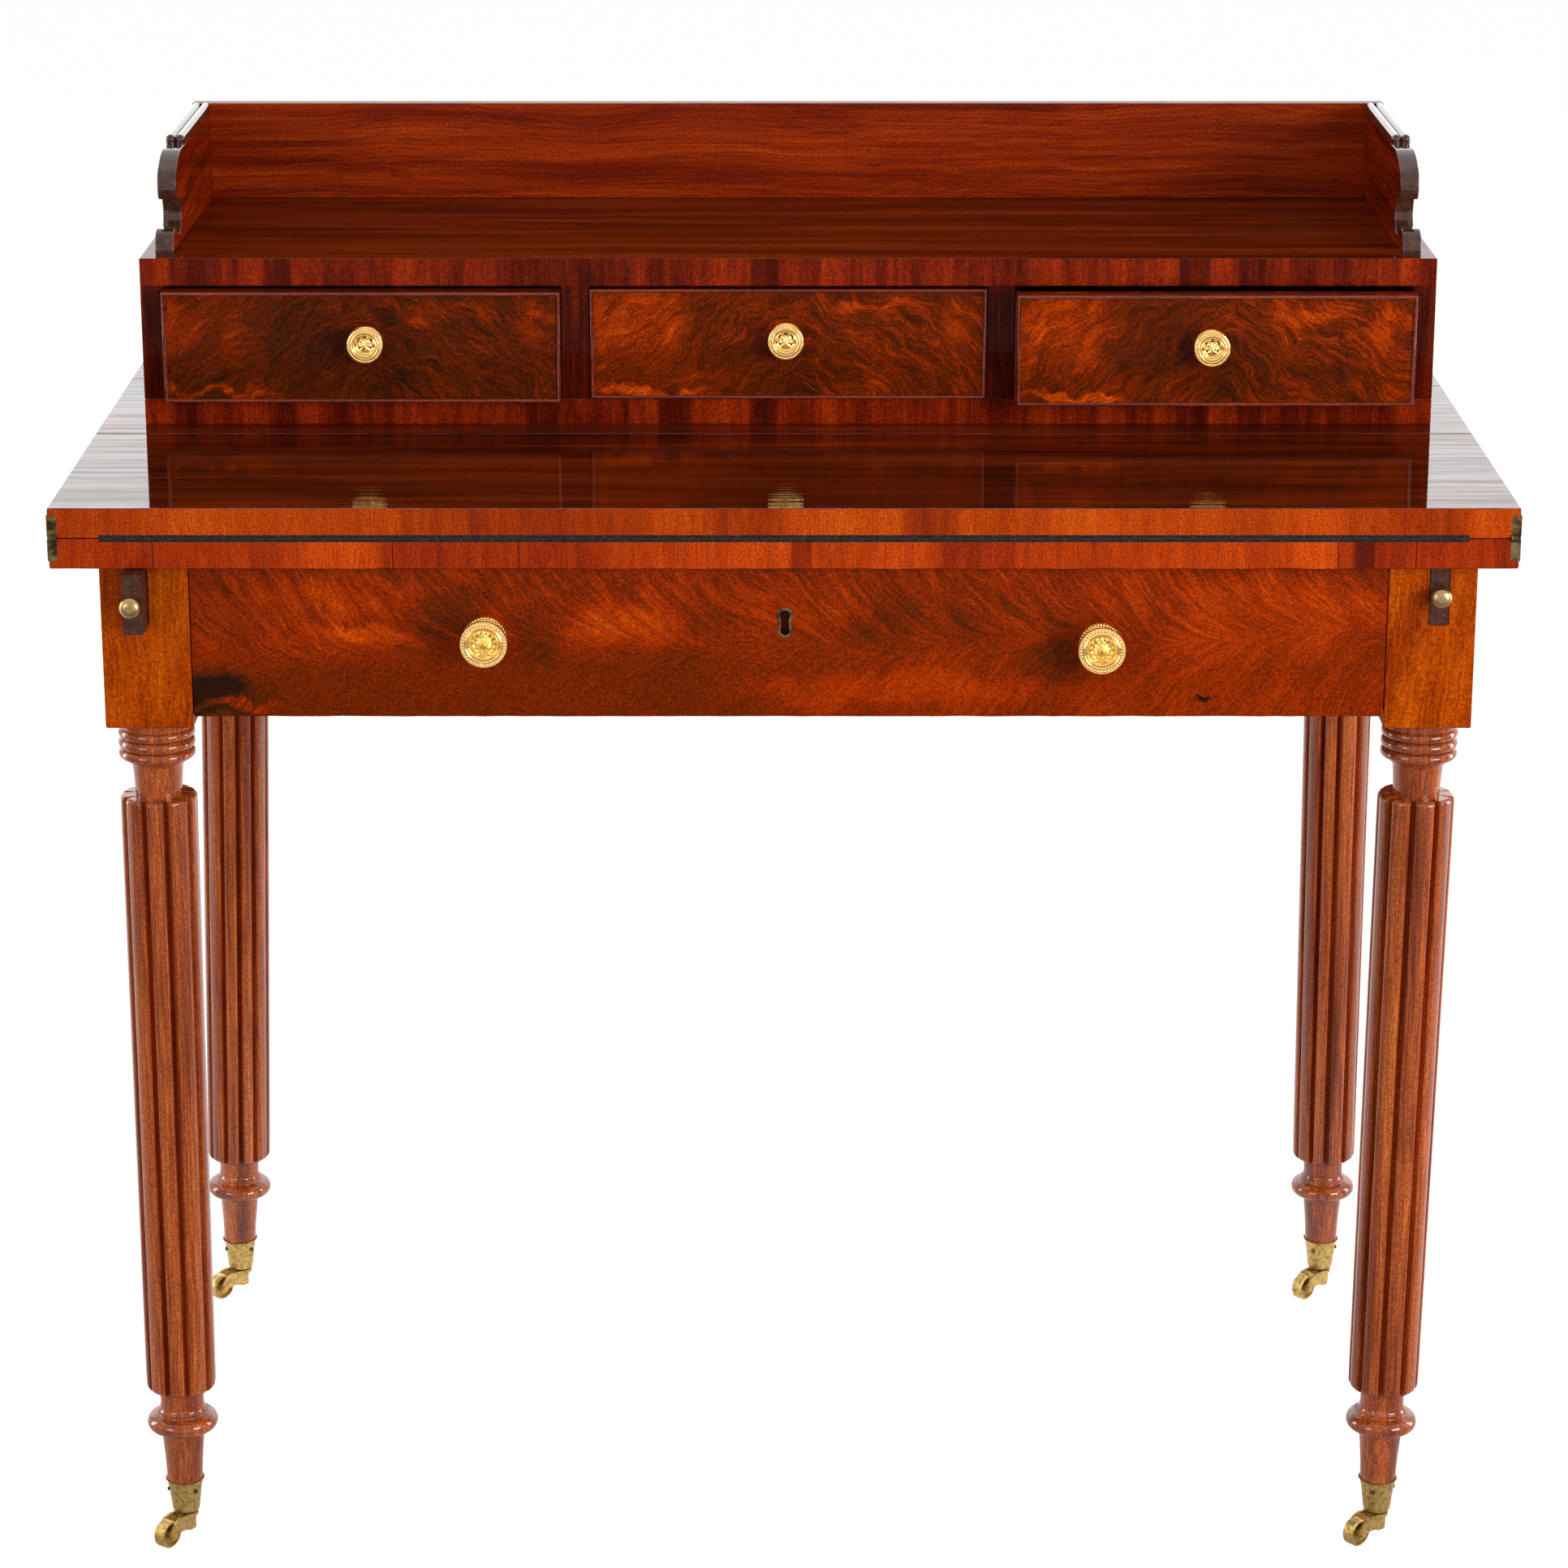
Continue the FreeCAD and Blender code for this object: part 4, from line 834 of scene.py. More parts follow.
# The small drawers' fronts: cuts from one flitch, whose figure arches over the middle
SMALL_FIGURE = {
    "polish": WORN, "upright": True, "bend": 1.0, "shaft_mm": 10.0, "lean_mm": 700.0,
    "swirl_mm": (46.0, 44.0), "curl_mm": (9.0, 4.5), "broad_mm": (40.0, 9.0), "barb_mm": (16.0, 2.6),
    "chip_mm": (16.0, 6.0), "chip_share": 0.2, "below_share": (0.85, 0.85), "below_dim": (0.0, 0.0),
    "patches": SMALL_PATCHES,
}
# Open joints and odd blocks in the bed's crossbanding: middle, half width, and how much lighter
BED_JOINTS = (
    (-425.0, 0.5, -0.5), (-263.5, 0.4, -0.4), (-178.6, 0.4, -0.4), (11.8, 7.0, -0.12),
    (385.6, 12.0, -0.12), (373.0, 0.4, -0.4), (425.6, 0.5, -0.5),
)
# Lengths and widths of the bands and of the fine lines, for woods that share a cut
TURNED_CUT = ((240.0, 11.0), (60.0, 1.3))
BOARD_CUT = ((420.0, 26.0), (110.0, 2.2))
SHELF_CUT = ((380.0, 22.0), (110.0, 2.0))
CASE_CUT = ((260.0, 18.0), (80.0, 1.8))
RAIL_CUT = ((300.0, 16.0), (80.0, 1.6))
SMALL_CUT = ((120.0, 6.0), (30.0, 1.2))
LINING_CUT = ((300.0, 12.0), (60.0, 1.2))
CASE_SIDE = Mahogany("case_side", RAIL_STOPS, Axis.Y, *CASE_CUT, seed=25.0)


class Finish(Enum):
    """Every finish on the desk."""

    LEG = Mahogany(
        "polished_mahogany_turned", LEG_STOPS, Axis.Z, *TURNED_CUT, polish=TURNED, fibre_share=0.5,
    )
    # Painted light: the leg's wood made lighter for the faces in the valleys, where shade falls
    VALLEY = Mahogany(
        "polished_mahogany_valley_painted_light", VALLEY_PAINTED_LIGHT_STOPS, Axis.Z, *TURNED_CUT, polish=TURNED, fibre_share=0.5,
    )
    BLOCK = Mahogany(
        "polished_mahogany_block", BLOCK_STOPS, Axis.Z, (90.0, 22.0), (30.0, 1.6), wave_mm=12.0,
        polish=WORN, seed=4.0,
    )
    TOP = BandedBoard(
        "polished_mahogany_top",
        Mahogany("top_face", TOP_STOPS, Axis.X, *BOARD_CUT, polish=MIRROR, seed=11.0),
        Crossband("top_edge", EDGE_STOPS, seed=2.0),
        Crossband("top_side", EDGE_STOPS, run=Axis.Y, seed=9.0),
        MIRROR,
    )
    BED = BandedBoard(
        "polished_mahogany_bed",
        Mahogany("bed_face", TOP_STOPS, Axis.X, *BOARD_CUT, polish=MIRROR, seed=15.0),
        Crossband("bed_edge", BED_STOPS, seed=31.0, block_mm=55.0, block_share=0.6, joints=BED_JOINTS),
        Crossband("bed_side", EDGE_STOPS, run=Axis.Y, seed=39.0),
        MIRROR,
    )
    CASE = BandedBoard(
        "polished_mahogany_case",
        Mahogany("shelf_face", TOP_STOPS, Axis.X, *SHELF_CUT, seed=21.0, lift=0.06),
        Crossband("case_edge", RAIL_STOPS, seed=5.0, block_mm=22.0, block_share=0.4),
        CASE_SIDE,
        SHELF,
    )
    UPRIGHT = BandedBoard(
        "polished_mahogany_upright",
        Mahogany("upright_end", UPRIGHT_STOPS, Axis.X, *SHELF_CUT, seed=22.0),
        Mahogany("upright_edge", UPRIGHT_STOPS, Axis.Z, (90.0, 8.0), (40.0, 1.2), seed=23.0),
        CASE_SIDE,
        SHELF,
    )
    RAIL = Mahogany("polished_mahogany_rail", RAIL_STOPS, Axis.X, *RAIL_CUT, polish=WORN, seed=6.0)
    SIDE_RAIL = Mahogany(
        "polished_mahogany_side_rail", BACK_STOPS, Axis.Y, *RAIL_CUT, polish=WORN, seed=8.0,
    )
    GALLERY = Mahogany(
        "polished_mahogany_gallery", BACK_STOPS, Axis.X, (420.0, 13.0), (110.0, 1.8), wave_mm=7.0,
        polish=THIN, seed=12.0,
    )
    GALLERY_SIDE = Mahogany(
        "polished_mahogany_gallery_side", RAIL_STOPS, Axis.Y, (200.0, 14.0), (60.0, 1.6), polish=SHELF,
        seed=14.0,
    )
    FRIEZE = Flame(
        "flame_mahogany_frieze", FLAME_STOPS, polish=WORN, shaft_mm=681.0, shaft_rise=0.02,
        patches=FRIEZE_PATCHES_AND_KNOB_SHADOWS, seed=1.0,
    )
    SMALL_LEFT = Flame(
        "flame_mahogany_left", SMALL_STOPS, **SMALL_FIGURE, middle_mm=-303.7, seed=2.0, level=-0.07,
    )
    SMALL_MIDDLE = Flame(
        "flame_mahogany_middle", SMALL_STOPS, **SMALL_FIGURE, middle_mm=3.0, seed=2.12, level=-0.02,
    )
    SMALL_RIGHT = Flame(
        "flame_mahogany_right", SMALL_STOPS, **SMALL_FIGURE, middle_mm=309.7, seed=2.24, level=-0.03,
    )
    BEAD = Mahogany(
        "polished_mahogany_bead", BEAD_STOPS, Axis.X, (120.0, 5.0), (30.0, 1.2), polish=TURNED, seed=16.0,
    )
    LOPER = Mahogany("worn_mahogany_loper", LOPER_STOPS, Axis.Y, *SMALL_CUT, polish=HANDLED, seed=17.0)
    GALLERY_FRONT = Mahogany(
        "worn_mahogany_moulding", LOPER_STOPS, Axis.Y, *SMALL_CUT, polish=TURNED, seed=18.0,
    )
    LINING = Mahogany(
        "oak_lining", OAK_STOPS, Axis.X, *LINING_CUT, pore_depth=0.45, polish=DRY, seed=19.0,
    )
    LINING_SIDE = Mahogany(
        "oak_lining_side", OAK_STOPS, Axis.Y, *LINING_CUT, pore_depth=0.45, polish=DRY, seed=20.0,
    )
    BAIZE = Baize()
    GILT = Brass("stamped_gilt_brass", "#ffdb92", "#8a5c26", 0.15, stain=(0.7, 1.1), hollow=0.15, grit=0.03)
    AGED = Brass("speckled_caster_brass", "#ccaa66", "#664e28", 0.4, stain_mm=3.0, stain=(0.42, 0.8))
    DULL = Brass("dull_hinge_brass", "#86714c", "#3b3020", 0.5, stain=(0.35, 0.65))
    RUBBED = Brass("rubbed_brass", "#b59a6c", "#7a6040", 0.3, stain=(0.5, 0.85))
    IRON = Iron()

    def made(self) -> Material:
        """The finish's material, made once."""
        return bpy.data.materials.get(self.value.name) or self.value.material()


def hung(name: str, data: bpy.types.ID) -> Piece:
    """Puts a new object into the scene.

    Args:
        name: Its name.
        data: Its mesh, lamp or camera.

    Returns:
        The object.
    """
    thing = bpy.data.objects.new(name, data)
    bpy.context.scene.collection.objects.link(thing)
    return thing


class Shape:
    """The points and faces of one piece, gathered part by part in millimetres."""

    def __init__(self) -> None:
        """Starts with nothing."""
        self.points: list[Vector] = []
        self.faces: list[list[int]] = []
        self.marks: list[int] = []

    def add(self, points: list, faces: list, place: Matrix = Matrix(), mark: int = 0) -> None:
        """Adds a part.

        Args:
            points: Its points.
            faces: Its faces, as indices into those points.
            place: Where the part goes.
            mark: Which of the piece's finishes it has.
        """
        start = len(self.points)
        self.points += [place @ Vector(p) for p in points]
        self.faces += [[start + i for i in f] for f in faces]
        self.marks += [mark] * len(faces)

    def rings(self, rings: list, place: Matrix = Matrix(), mark: int = 0, looped: bool = False) -> None:
        """Adds a skin over rings of points.

        Args:
            rings: Rings of equally many points, or of one point at a closed tip.
            place: Where the part goes.
            mark: Which of the piece's finishes it has.
            looped: Whether the last ring joins the first. Otherwise both ends are capped.
        """
        points = [p for ring in rings for p in ring]
        faces = []
        starts = [0]
        for ring in rings:
            starts.append(starts[-1] + len(ring))
        last = len(rings) - 1
        pairs = [(k, k + 1) for k in range(last)]
        if looped:
            pairs.append((last, 0))
        for a, b in pairs:
            n = max(len(rings[a]), len(rings[b]))
            for i in range(n):
                j = (i + 1) % n
                corners = [starts[a] + i % len(rings[a]), starts[a] + j % len(rings[a])]
                corners += [starts[b] + j % len(rings[b]), starts[b] + i % len(rings[b])]
                faces.append(list(dict.fromkeys(corners)))
        if not looped:
            for k, way in ((0, -1), (last, 1)):
                if len(rings[k]) > 1:
                    faces.append([starts[k] + i for i in range(len(rings[k]))][::way])
        self.add(points, faces, place, mark)

    def turned(self, outline: list, steps: int, place: Matrix = Matrix(), mark: int = 0) -> None:
        """Adds a shape turned about Z.

        Args:
            outline: Radius and height of each point, in order.
            steps: How many flats the round has.
            place: Where the part goes.
            mark: Which of the piece's finishes it has.
        """
        rings = []
        for radius, height in outline:
            flat = circle(radius, steps) if radius > 0 else [(0, 0)]
            rings.append([(x, y, height) for x, y in flat])
        self.rings(rings, place, mark)

    def bar(self, low: tuple, high: tuple, run: Axis = Axis.X, round_mm: float = 0.8,
            wear: float = 0.5, step_mm: float = 9.0) -> None:
        """Adds a board whose edges are rounded, a little more in some places than in others.

        Args:
            low: Its lowest corner.
            high: Its highest corner.
            run: The direction of its length.
            round_mm: The radius of its edges.
            wear: How much that radius varies.
            step_mm: How far apart the variations are.
        """
        order = [run.value, (run.value + 1) % 3, (run.value + 2) % 3]
        lo = [low[k] for k in order]
        hi = [high[k] for k in order]
        count = max(2, round((hi[0] - lo[0]) / step_mm))
        chamfer = 0.3 * round_mm
        stations = [(lo[0], round_mm), (lo[0] + chamfer, chamfer)]
        for i in range(count + 1):
            stations.append((lo[0] + round_mm + (hi[0] - lo[0] - 2 * round_mm) * i / count, 0.0))
        stations += [(hi[0] - chamfer, chamfer), (hi[0], round_mm)]
        corners = ((lo[1], lo[2], 180), (hi[1], lo[2], 270), (hi[1], hi[2], 0), (lo[1], hi[2], 90))
        rings = []
        for along, inset in stations:
            ring = []
            for k, (u, v, start) in enumerate(corners):
                chance = noise.noise(Vector((along * 0.045, lo[1] + k * 7.3, lo[2] + high[0] * 0.3)))
                chance += 0.6 * noise.noise(Vector((along * 0.21, lo[1] - k * 3.1, lo[2])))
                radius = round_mm * (1 + wear * max(-0.9, 1.6 * chance))
                cu = u + (radius + inset if u == lo[1] else -radius - inset)
                cv = v + (radius + inset if v == lo[2] else -radius - inset)
                for turn in (0, 30, 60, 90):
                    a = math.radians(start + turn)
                    spot = [0.0, 0.0, 0.0]
                    spot[order[0]] = along
                    spot[order[1]] = cu + radius * math.cos(a)
                    spot[order[2]] = cv + radius * math.sin(a)
                    ring.append(spot)
            rings.append(ring)
        self.rings(rings)

    def slab(self, outline: list, low: float, high: float, round_mm: float, place: Matrix = Matrix(),
             rim_mark: int = 0) -> None:
        """Adds an outline stretched along Z, with rounded rims. Its two faces have the first finish.

        Args:
            outline: Its points as (x, y), anticlockwise.
            low: Where it starts.
            high: Where it ends.
            round_mm: The radius of both rims.
            place: Where the part goes.
            rim_mark: Which of the piece's finishes the wall between the faces has.
        """
        levels = []
        for share in (0.0, 0.35, 0.7, 1.0):
            a = share * math.pi / 2
            levels.append((low + round_mm * (1 - math.cos(a)), round_mm * (1 - math.sin(a))))
        levels += [(low + high - z, inset) for z, inset in reversed(levels)]
        rings = [[(x, y, z) for x, y in inset_outline(outline, inset)] for z, inset in levels]
        self.rings(rings, place, rim_mark)
        self.marks[-2:] = [0, 0]

    def mesh(self, name: str) -> bpy.types.Mesh:
        """The shape's mesh, with its faces turned outwards.

        Args:
            name: The mesh's name.

        Returns:
            The mesh, in metres.
        """
        mesh = bpy.data.meshes.new(name)
        mesh.from_pydata([p * MM for p in self.points], [], self.faces)
        work = bmesh.new()
        work.from_mesh(mesh)
        bmesh.ops.recalc_face_normals(work, faces=work.faces)
        work.to_mesh(mesh)
        work.free()
        return mesh

    def made(self, name: str, body: str, slot: str, finishes: list, node: str, sharp: float = 40.0) -> Piece:
        """Makes the piece.

        Args:
            name: Its name.
            body: The CAD body that it rides on.
            slot: The record's material slot of its finish. It is not used.
            finishes: Its finishes, in the order of its marks.
            node: The CAD node that it stands for.
            sharp: The least angle of an edge that stays crisp, in degrees.

        Returns:
            The object.
        """
        mesh = self.mesh(name)
        for finish in finishes:
            mesh.materials.append(finish.made())
        for polygon, mark in zip(mesh.polygons, self.marks):
            polygon.material_index = mark
        piece = hung(name, mesh)
        smoothed(piece, sharp)
        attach(piece, body)
        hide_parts(node)
        log.info("%s: %d points, %d faces, on %s", name, len(mesh.vertices), len(mesh.polygons), body)
        return piece


def smoothed(piece: Piece, sharp: float = 40.0) -> None:
    """Shades a piece smoothly, with crisp sharp edges and flat broad faces beside rounded edges.

    Args:
        piece: The piece.
        sharp: The least angle of an edge that stays crisp, in degrees.
    """
    for polygon in piece.data.polygons:
        polygon.use_smooth = True
    piece.data.set_sharp_from_angle(angle=math.radians(sharp))
    even = piece.modifiers.new("flat_faces", "WEIGHTED_NORMAL")
    even.keep_sharp = True
    even.weight = 80


def inset_outline(outline: list, inset: float) -> list:
    """Moves an outline's points inwards.

    Args:
        outline: Its points as (x, y), anticlockwise.
        inset: How far each side moves in.

    Returns:
        The moved points.
    """
    if not inset:
        return list(outline)
    found = []
    for i, (x, y) in enumerate(outline):
        ax, ay = outline[i - 1]
        bx, by = outline[(i + 1) % len(outline)]
        one = Vector((x - ax, y - ay)).normalized()
        two = Vector((bx - x, by - y)).normalized()
        side = Vector((-one.y - two.y, one.x + two.x))
        if side.length < 1e-6:
            side = Vector((-one.y, one.x))
        side.normalize()
        reach = inset / max(0.35, side.dot(Vector((-one.y, one.x))))
        found.append((x + side.x * reach, y + side.y * reach))
    return found


def carved(piece: Piece, cutters: list) -> None:
    """Cuts pockets into a piece and keeps its shading.

    Args:
        piece: The piece.
        cutters: The shapes to take away.
    """
    piece.modifiers.clear()
    for shape in cutters:
        tool = hung("cutter", shape.mesh("cutter"))
        change = piece.modifiers.new("pocket", "BOOLEAN")
        change.object = tool
        change.solver = "EXACT"
        bpy.context.view_layer.update()
        cut = piece.evaluated_get(bpy.context.evaluated_depsgraph_get())
        result = bpy.data.meshes.new_from_object(cut)
        piece.modifiers.clear()
        old = piece.data
        piece.data = result
        bpy.data.meshes.remove(old)
        bpy.data.objects.remove(tool)
    smoothed(piece)


def prism(section: list, ends: tuple, run: Axis) -> Shape:
    """A section stretched along an axis, for carving.

    Args:
        section: Its points, as their other two coordinates in the order of X, Y and Z.
        ends: Where it starts and ends along the axis.
        run: The axis.

    Returns:
        The shape.
    """
    shape = Shape()
    shape.rings([[(*p[:run.value], end, *p[run.value:]) for p in section] for end in ends])
    return shape


def box_shape(x: tuple, y: tuple, z: tuple) -> Shape:
    """A plain box for carving, from its limits along X, Y and Z."""
    return prism([(x[0], y[0]), (x[1], y[0]), (x[1], y[1]), (x[0], y[1])], z, Axis.Z)


def facing_front(x: float, y: float, z: float) -> Matrix:
    """The place of a part drawn along Z, which then points to the front."""
    return Matrix.Translation((x, y, z)) @ Matrix.Rotation(math.pi / 2, 4, "X")


def below(z: float, steps: tuple) -> list:
    """Outline points from their radii and their depths below a height."""
    return [(radius, z - depth) for radius, depth in steps]


def half_round(radius: float, high: float, low: float, peak: float, steps: int) -> list:
    """Outline points of a half-round, going down.

    Args:
        radius: The radius where it starts and ends.
        high: The height where it starts.
        low: The height where it ends.
        peak: Its largest radius.
        steps: How many flats it has.

    Returns:
        The points after its start.
    """
    turns = [math.pi * i / steps for i in range(1, steps + 1)]
    return [
        (radius + (peak - radius) * math.sin(a), high + (low - high) * (1 - math.cos(a)) / 2) for a in turns
    ]


def arc(a: tuple, m: tuple, b: tuple, steps: int) -> list:
    """Points of the arc through three points.

    Args:
        a: Where it starts.
        m: A point on its way.
        b: Where it ends.
        steps: How many flats it has.

    Returns:
        The points after its start.
    """
    ax, ay = a
    mx, my = m
    bx, by = b
    d = 2 * (ax * (my - by) + mx * (by - ay) + bx * (ay - my))
    sa, sm, sb = ax * ax + ay * ay, mx * mx + my * my, bx * bx + by * by
    ux = (sa * (my - by) + sm * (by - ay) + sb * (ay - my)) / d
    uy = (sa * (bx - mx) + sm * (ax - bx) + sb * (mx - ax)) / d
    r = math.hypot(ax - ux, ay - uy)
    t0, tm, t1 = (math.atan2(q[1] - uy, q[0] - ux) for q in (a, m, b))
    forward = ((tm - t0) % TURN) < ((t1 - t0) % TURN)
    sweep = (t1 - t0) % TURN if forward else -((t0 - t1) % TURN)
    turns = [t0 + sweep * k / steps for k in range(1, steps + 1)]
    return [(ux + r * math.cos(t), uy + r * math.sin(t)) for t in turns]


def foot_place(name: str) -> tuple[float, float]:
    """Where a leg's caster turns, in millimetres."""
    x, y, _ = joint("caster_swivel_" + name)["pos_m"]
    return x / MM, y / MM


@dataclass
class Leg:
    """One leg: a square block, turned rings, a reeded shaft and a turned foot.

    The tables of its turned parts give radii and depths, from the top of each part down."""

    name: str
    valleys: tuple
    top_shift: float
    block_side: float = 60.0
    block_low: float = 623.0
    block_round: float = 1.0
    slot_room: float = 0.3
    slot_round: float = 1.0
    collar: tuple = ((0, -1.5), (25.3, -1.5), (25.5, 5.6), (25.2, 6.2), (23.2, 6.3))
    collar_height: float = 6.3
    ring_heights: tuple = (7.3, 7.7, 7.2)
    ring_groove: float = 23.2
    ring_peak: float = 26.5
    step: tuple = ((21.5, 1.2), (20.2, 1.6), (20.0, 2.0), (19.9, 2.7), (19.4, 2.95))
    step_height: float = 2.9
    neck: tuple = ((18.4, 0.4), (17.75, 1.2), (17.5, 2.6), (16.9, 10.0), (16.3, 20.0))
    neck_radius: float = 16.2
    reeds: int = 10
    reed_top: float = 26.5
    reed_foot: float = 24.8
    reed_swell: float = 0.25
    reed_steps: int = 7
    valley_top: float = 17.5
    valley_foot: float = 16.0
    valley_half: float = 2.1
    rim_round: float = 2.3
    floor_half: float = 0.8
    floor_round: float = 1.0
    floor_dip: float = 0.3
    top_round: float = 3.0
    foot_round: float = 5.0
    levels: int = 40
    core: float = 15.0
    shaft_high: float = 567.9
    shaft_low: float = 119.0
    waist: tuple = ((0, -1), (15.7, -1), (15.6, 11.0), (16.0, 14.5), (16.9, 15.8))
    waist_height: float = 16.0
    fillet: tuple = (
        (17.3, 0.1), (17.5, 0.6), (17.5, 2.7), (17.8, 3.2), (19.0, 3.35), (19.4, 3.6), (19.3, 3.95),
    )
    fillet_height: float = 4.0
    torus_groove: float = 19.3
    torus_peak: float = 25.3
    torus_height: float = 12.0
    taper: tuple = (
        (17.6, 0.3), (16.4, 1.0), (15.6, 2.4), (15.1, 5.0), (14.5, 12.0), (13.8, 20.0), (13.2, 29.0),
    )
    caster_high: float = 47.4
    steps: int = 96
    turned_mark: int = 1
    # The finish of the valley faces, which carries painted light against their shade
    painted_light_valley_mark: int = 2
    valley_faces: tuple = (5, 11)

    def __post_init__(self) -> None:
        """Finds the block's middle, the block's top and the foot from the frame."""
        low, high = span("leg_" + self.name)
        self.x = high[0] - self.block_side / 2
        self.y = (low[1] + high[1]) / 2
        self.block_high = high[2]
        self.foot_x = foot_place(self.name)[0]

    def lean(self) -> Matrix:
        """The place of the turned parts, about the leg's own axis, which isn't quite upright.

        Returns:
            The place.
        """
        drop = self.block_low - self.caster_high
        angle = math.atan2(self.x + self.top_shift - self.foot_x, drop)
        pivot = Matrix.Translation((0, 0, self.block_low))
        turn = pivot @ Matrix.Rotation(angle, 4, "Y") @ pivot.inverted()
        return Matrix.Translation((self.x + self.top_shift, self.y, 0)) @ turn

    def valley_angles(self) -> list:
        """The angles of all valleys from straight ahead towards +X.

        Returns:
            The angles in degrees: first those that show at the front, then the hidden ones.
        """
        seen = list(self.valleys)
        hidden = self.reeds - len(seen)
        step = (360 - (seen[-1] - seen[0])) / (hidden + 1)
        return seen + [seen[-1] + step * (i + 1) for i in range(hidden)]

    def section(self, radius: float, floor: float, limit: float) -> list:
        """One cross-section of the reeds.

        Args:
            radius: The reeds' outer radius.
            floor: The radius at the valleys' floors.
            limit: The largest radius allowed, which rounds the shaft's ends.

        Returns:
            Its points as (x, y).
        """
        rim, wide = self.valley_half, self.valley_half + self.rim_round
        angles = self.valley_angles()
        found = []
        for angle, following in zip(angles, angles[1:] + [angles[0] + 360]):
            a = math.radians(angle)
            out = Vector((math.sin(a), -math.cos(a)))
            across = Vector((math.cos(a), math.sin(a)))
            start = Vector((-wide, math.sqrt(radius ** 2 - wide ** 2)))
            edge = Vector((-rim, math.sqrt(radius ** 2 - rim ** 2)))
            low = Vector((-self.floor_half, floor))
            wall = edge + (low - edge).normalized() * self.rim_round
            half = []
            for t in (0.0, 0.25, 0.5, 0.75, 1.0):
                half.append(start * (1 - t) ** 2 + edge * 2 * t * (1 - t) + wall * t ** 2)
            near = low + (wall - low).normalized() * self.floor_round
            half += [wall.lerp(near, 0.5), near, low + Vector((0.25, -0.12))]
            bottom = [Vector((0, floor - self.floor_dip))]
            whole = half + bottom + [Vector((-p.x, p.y)) for p in reversed(half)]
            found += [across * p.x + out * p.y for p in whole]
            gap = math.asin(wide / radius)
            first, last = a + gap, math.radians(following) - gap
            for k in range(1, self.reed_steps):
                b = first + (last - first) * k / self.reed_steps
                swell = radius + self.reed_swell * math.sin(math.pi * k / self.reed_steps)
                found.append(Vector((math.sin(b), -math.cos(b))) * swell)
        return [tuple(p * min(1.0, limit / p.length)) for p in found]

    def shaft_levels(self) -> list:
        """The heights of the shaft's cross-sections, and how far past the reeds their limit is.

        Returns:
            Height and limit of each, going up. Below nought, the limit rounds the shaft's ends.
        """
        low, high, foot, top = self.shaft_low, self.shaft_high, self.foot_round, self.top_round
        levels = []
        for share in (0.0, 0.2, 0.4, 0.6, 0.8, 1.0):
            a = share * math.pi / 2
            levels.append((low + foot * (1 - math.cos(a)), -foot * (1 - math.sin(a))))
        for i in range(1, self.levels):
            levels.append((low + foot + (high - low - (foot + top)) * i / self.levels, 1.0))
        for share in (1.0, 0.75, 0.5, 0.25, 0.0):
            a = share * math.pi / 2
            levels.append((high - top * (1 - math.cos(a)), -top * (1 - math.sin(a))))
        return levels

    def shaft(self, shape: Shape) -> None:
        """Adds the reeded shaft.

        Args:
            shape: The shape to add to.
        """
        low, high = self.shaft_low, self.shaft_high
        rings = []
        for z, past in self.shaft_levels():
            share = (z - low) / (high - low)
            radius = self.reed_foot + share * (self.reed_top - self.reed_foot)
            floor = self.valley_foot + share * (self.valley_top - self.valley_foot)
            rings.append([(x, y, z) for x, y in self.section(radius, floor, radius + past)])
        for ring, at in ((rings[0], 0), (rings[-1], len(rings) + 1)):
            cap = []
            for x, y, z in ring:
                reach = math.hypot(x, y)
                cap.append((x * self.core / reach, y * self.core / reach, z))
            rings.insert(at, cap)
        start = len(shape.marks)
        shape.rings(rings, self.lean(), self.turned_mark)
        around = len(rings[0])
        share = around // self.reeds
        # The faces in the valleys take the lighter finish: painted light over the valleys' shade
        first, last = self.valley_faces
        for k in range(around * (len(rings) - 1)):
            if first <= k % around % share <= last:
                shape.marks[start + k] = self.painted_light_valley_mark

    def rings_outline(self) -> list:
        """Outline of the collar, the three rings and the neck, going down.

        Returns:
            Radii and heights.
        """
        z = self.block_low
        points = below(z, self.collar)
        z -= self.collar_height
        for height in self.ring_heights:
            points += half_round(self.ring_groove, z, z - height, self.ring_peak, 12)
            z -= height
        points += below(z, self.step)
        points += below(z - self.step_height, self.neck)
        return points + [(self.neck_radius, self.shaft_high - 1), (0, self.shaft_high - 1)]

    def foot_outline(self) -> list:
        """Outline of the waist, the fillet, the torus and the foot, going down.

        Returns:
            Radii and heights.
        """
        z = self.shaft_low
        points = below(z, self.waist)
        z -= self.waist_height
        points += below(z, self.fillet)
        z -= self.fillet_height
        points += half_round(self.torus_groove, z, z - self.torus_height, self.torus_peak, 18)
        points += below(z - self.torus_height, self.taper)
        end = self.caster_high
        return points + [(12.75, end), (12.7, end - 0.4), (0, end - 0.4)]

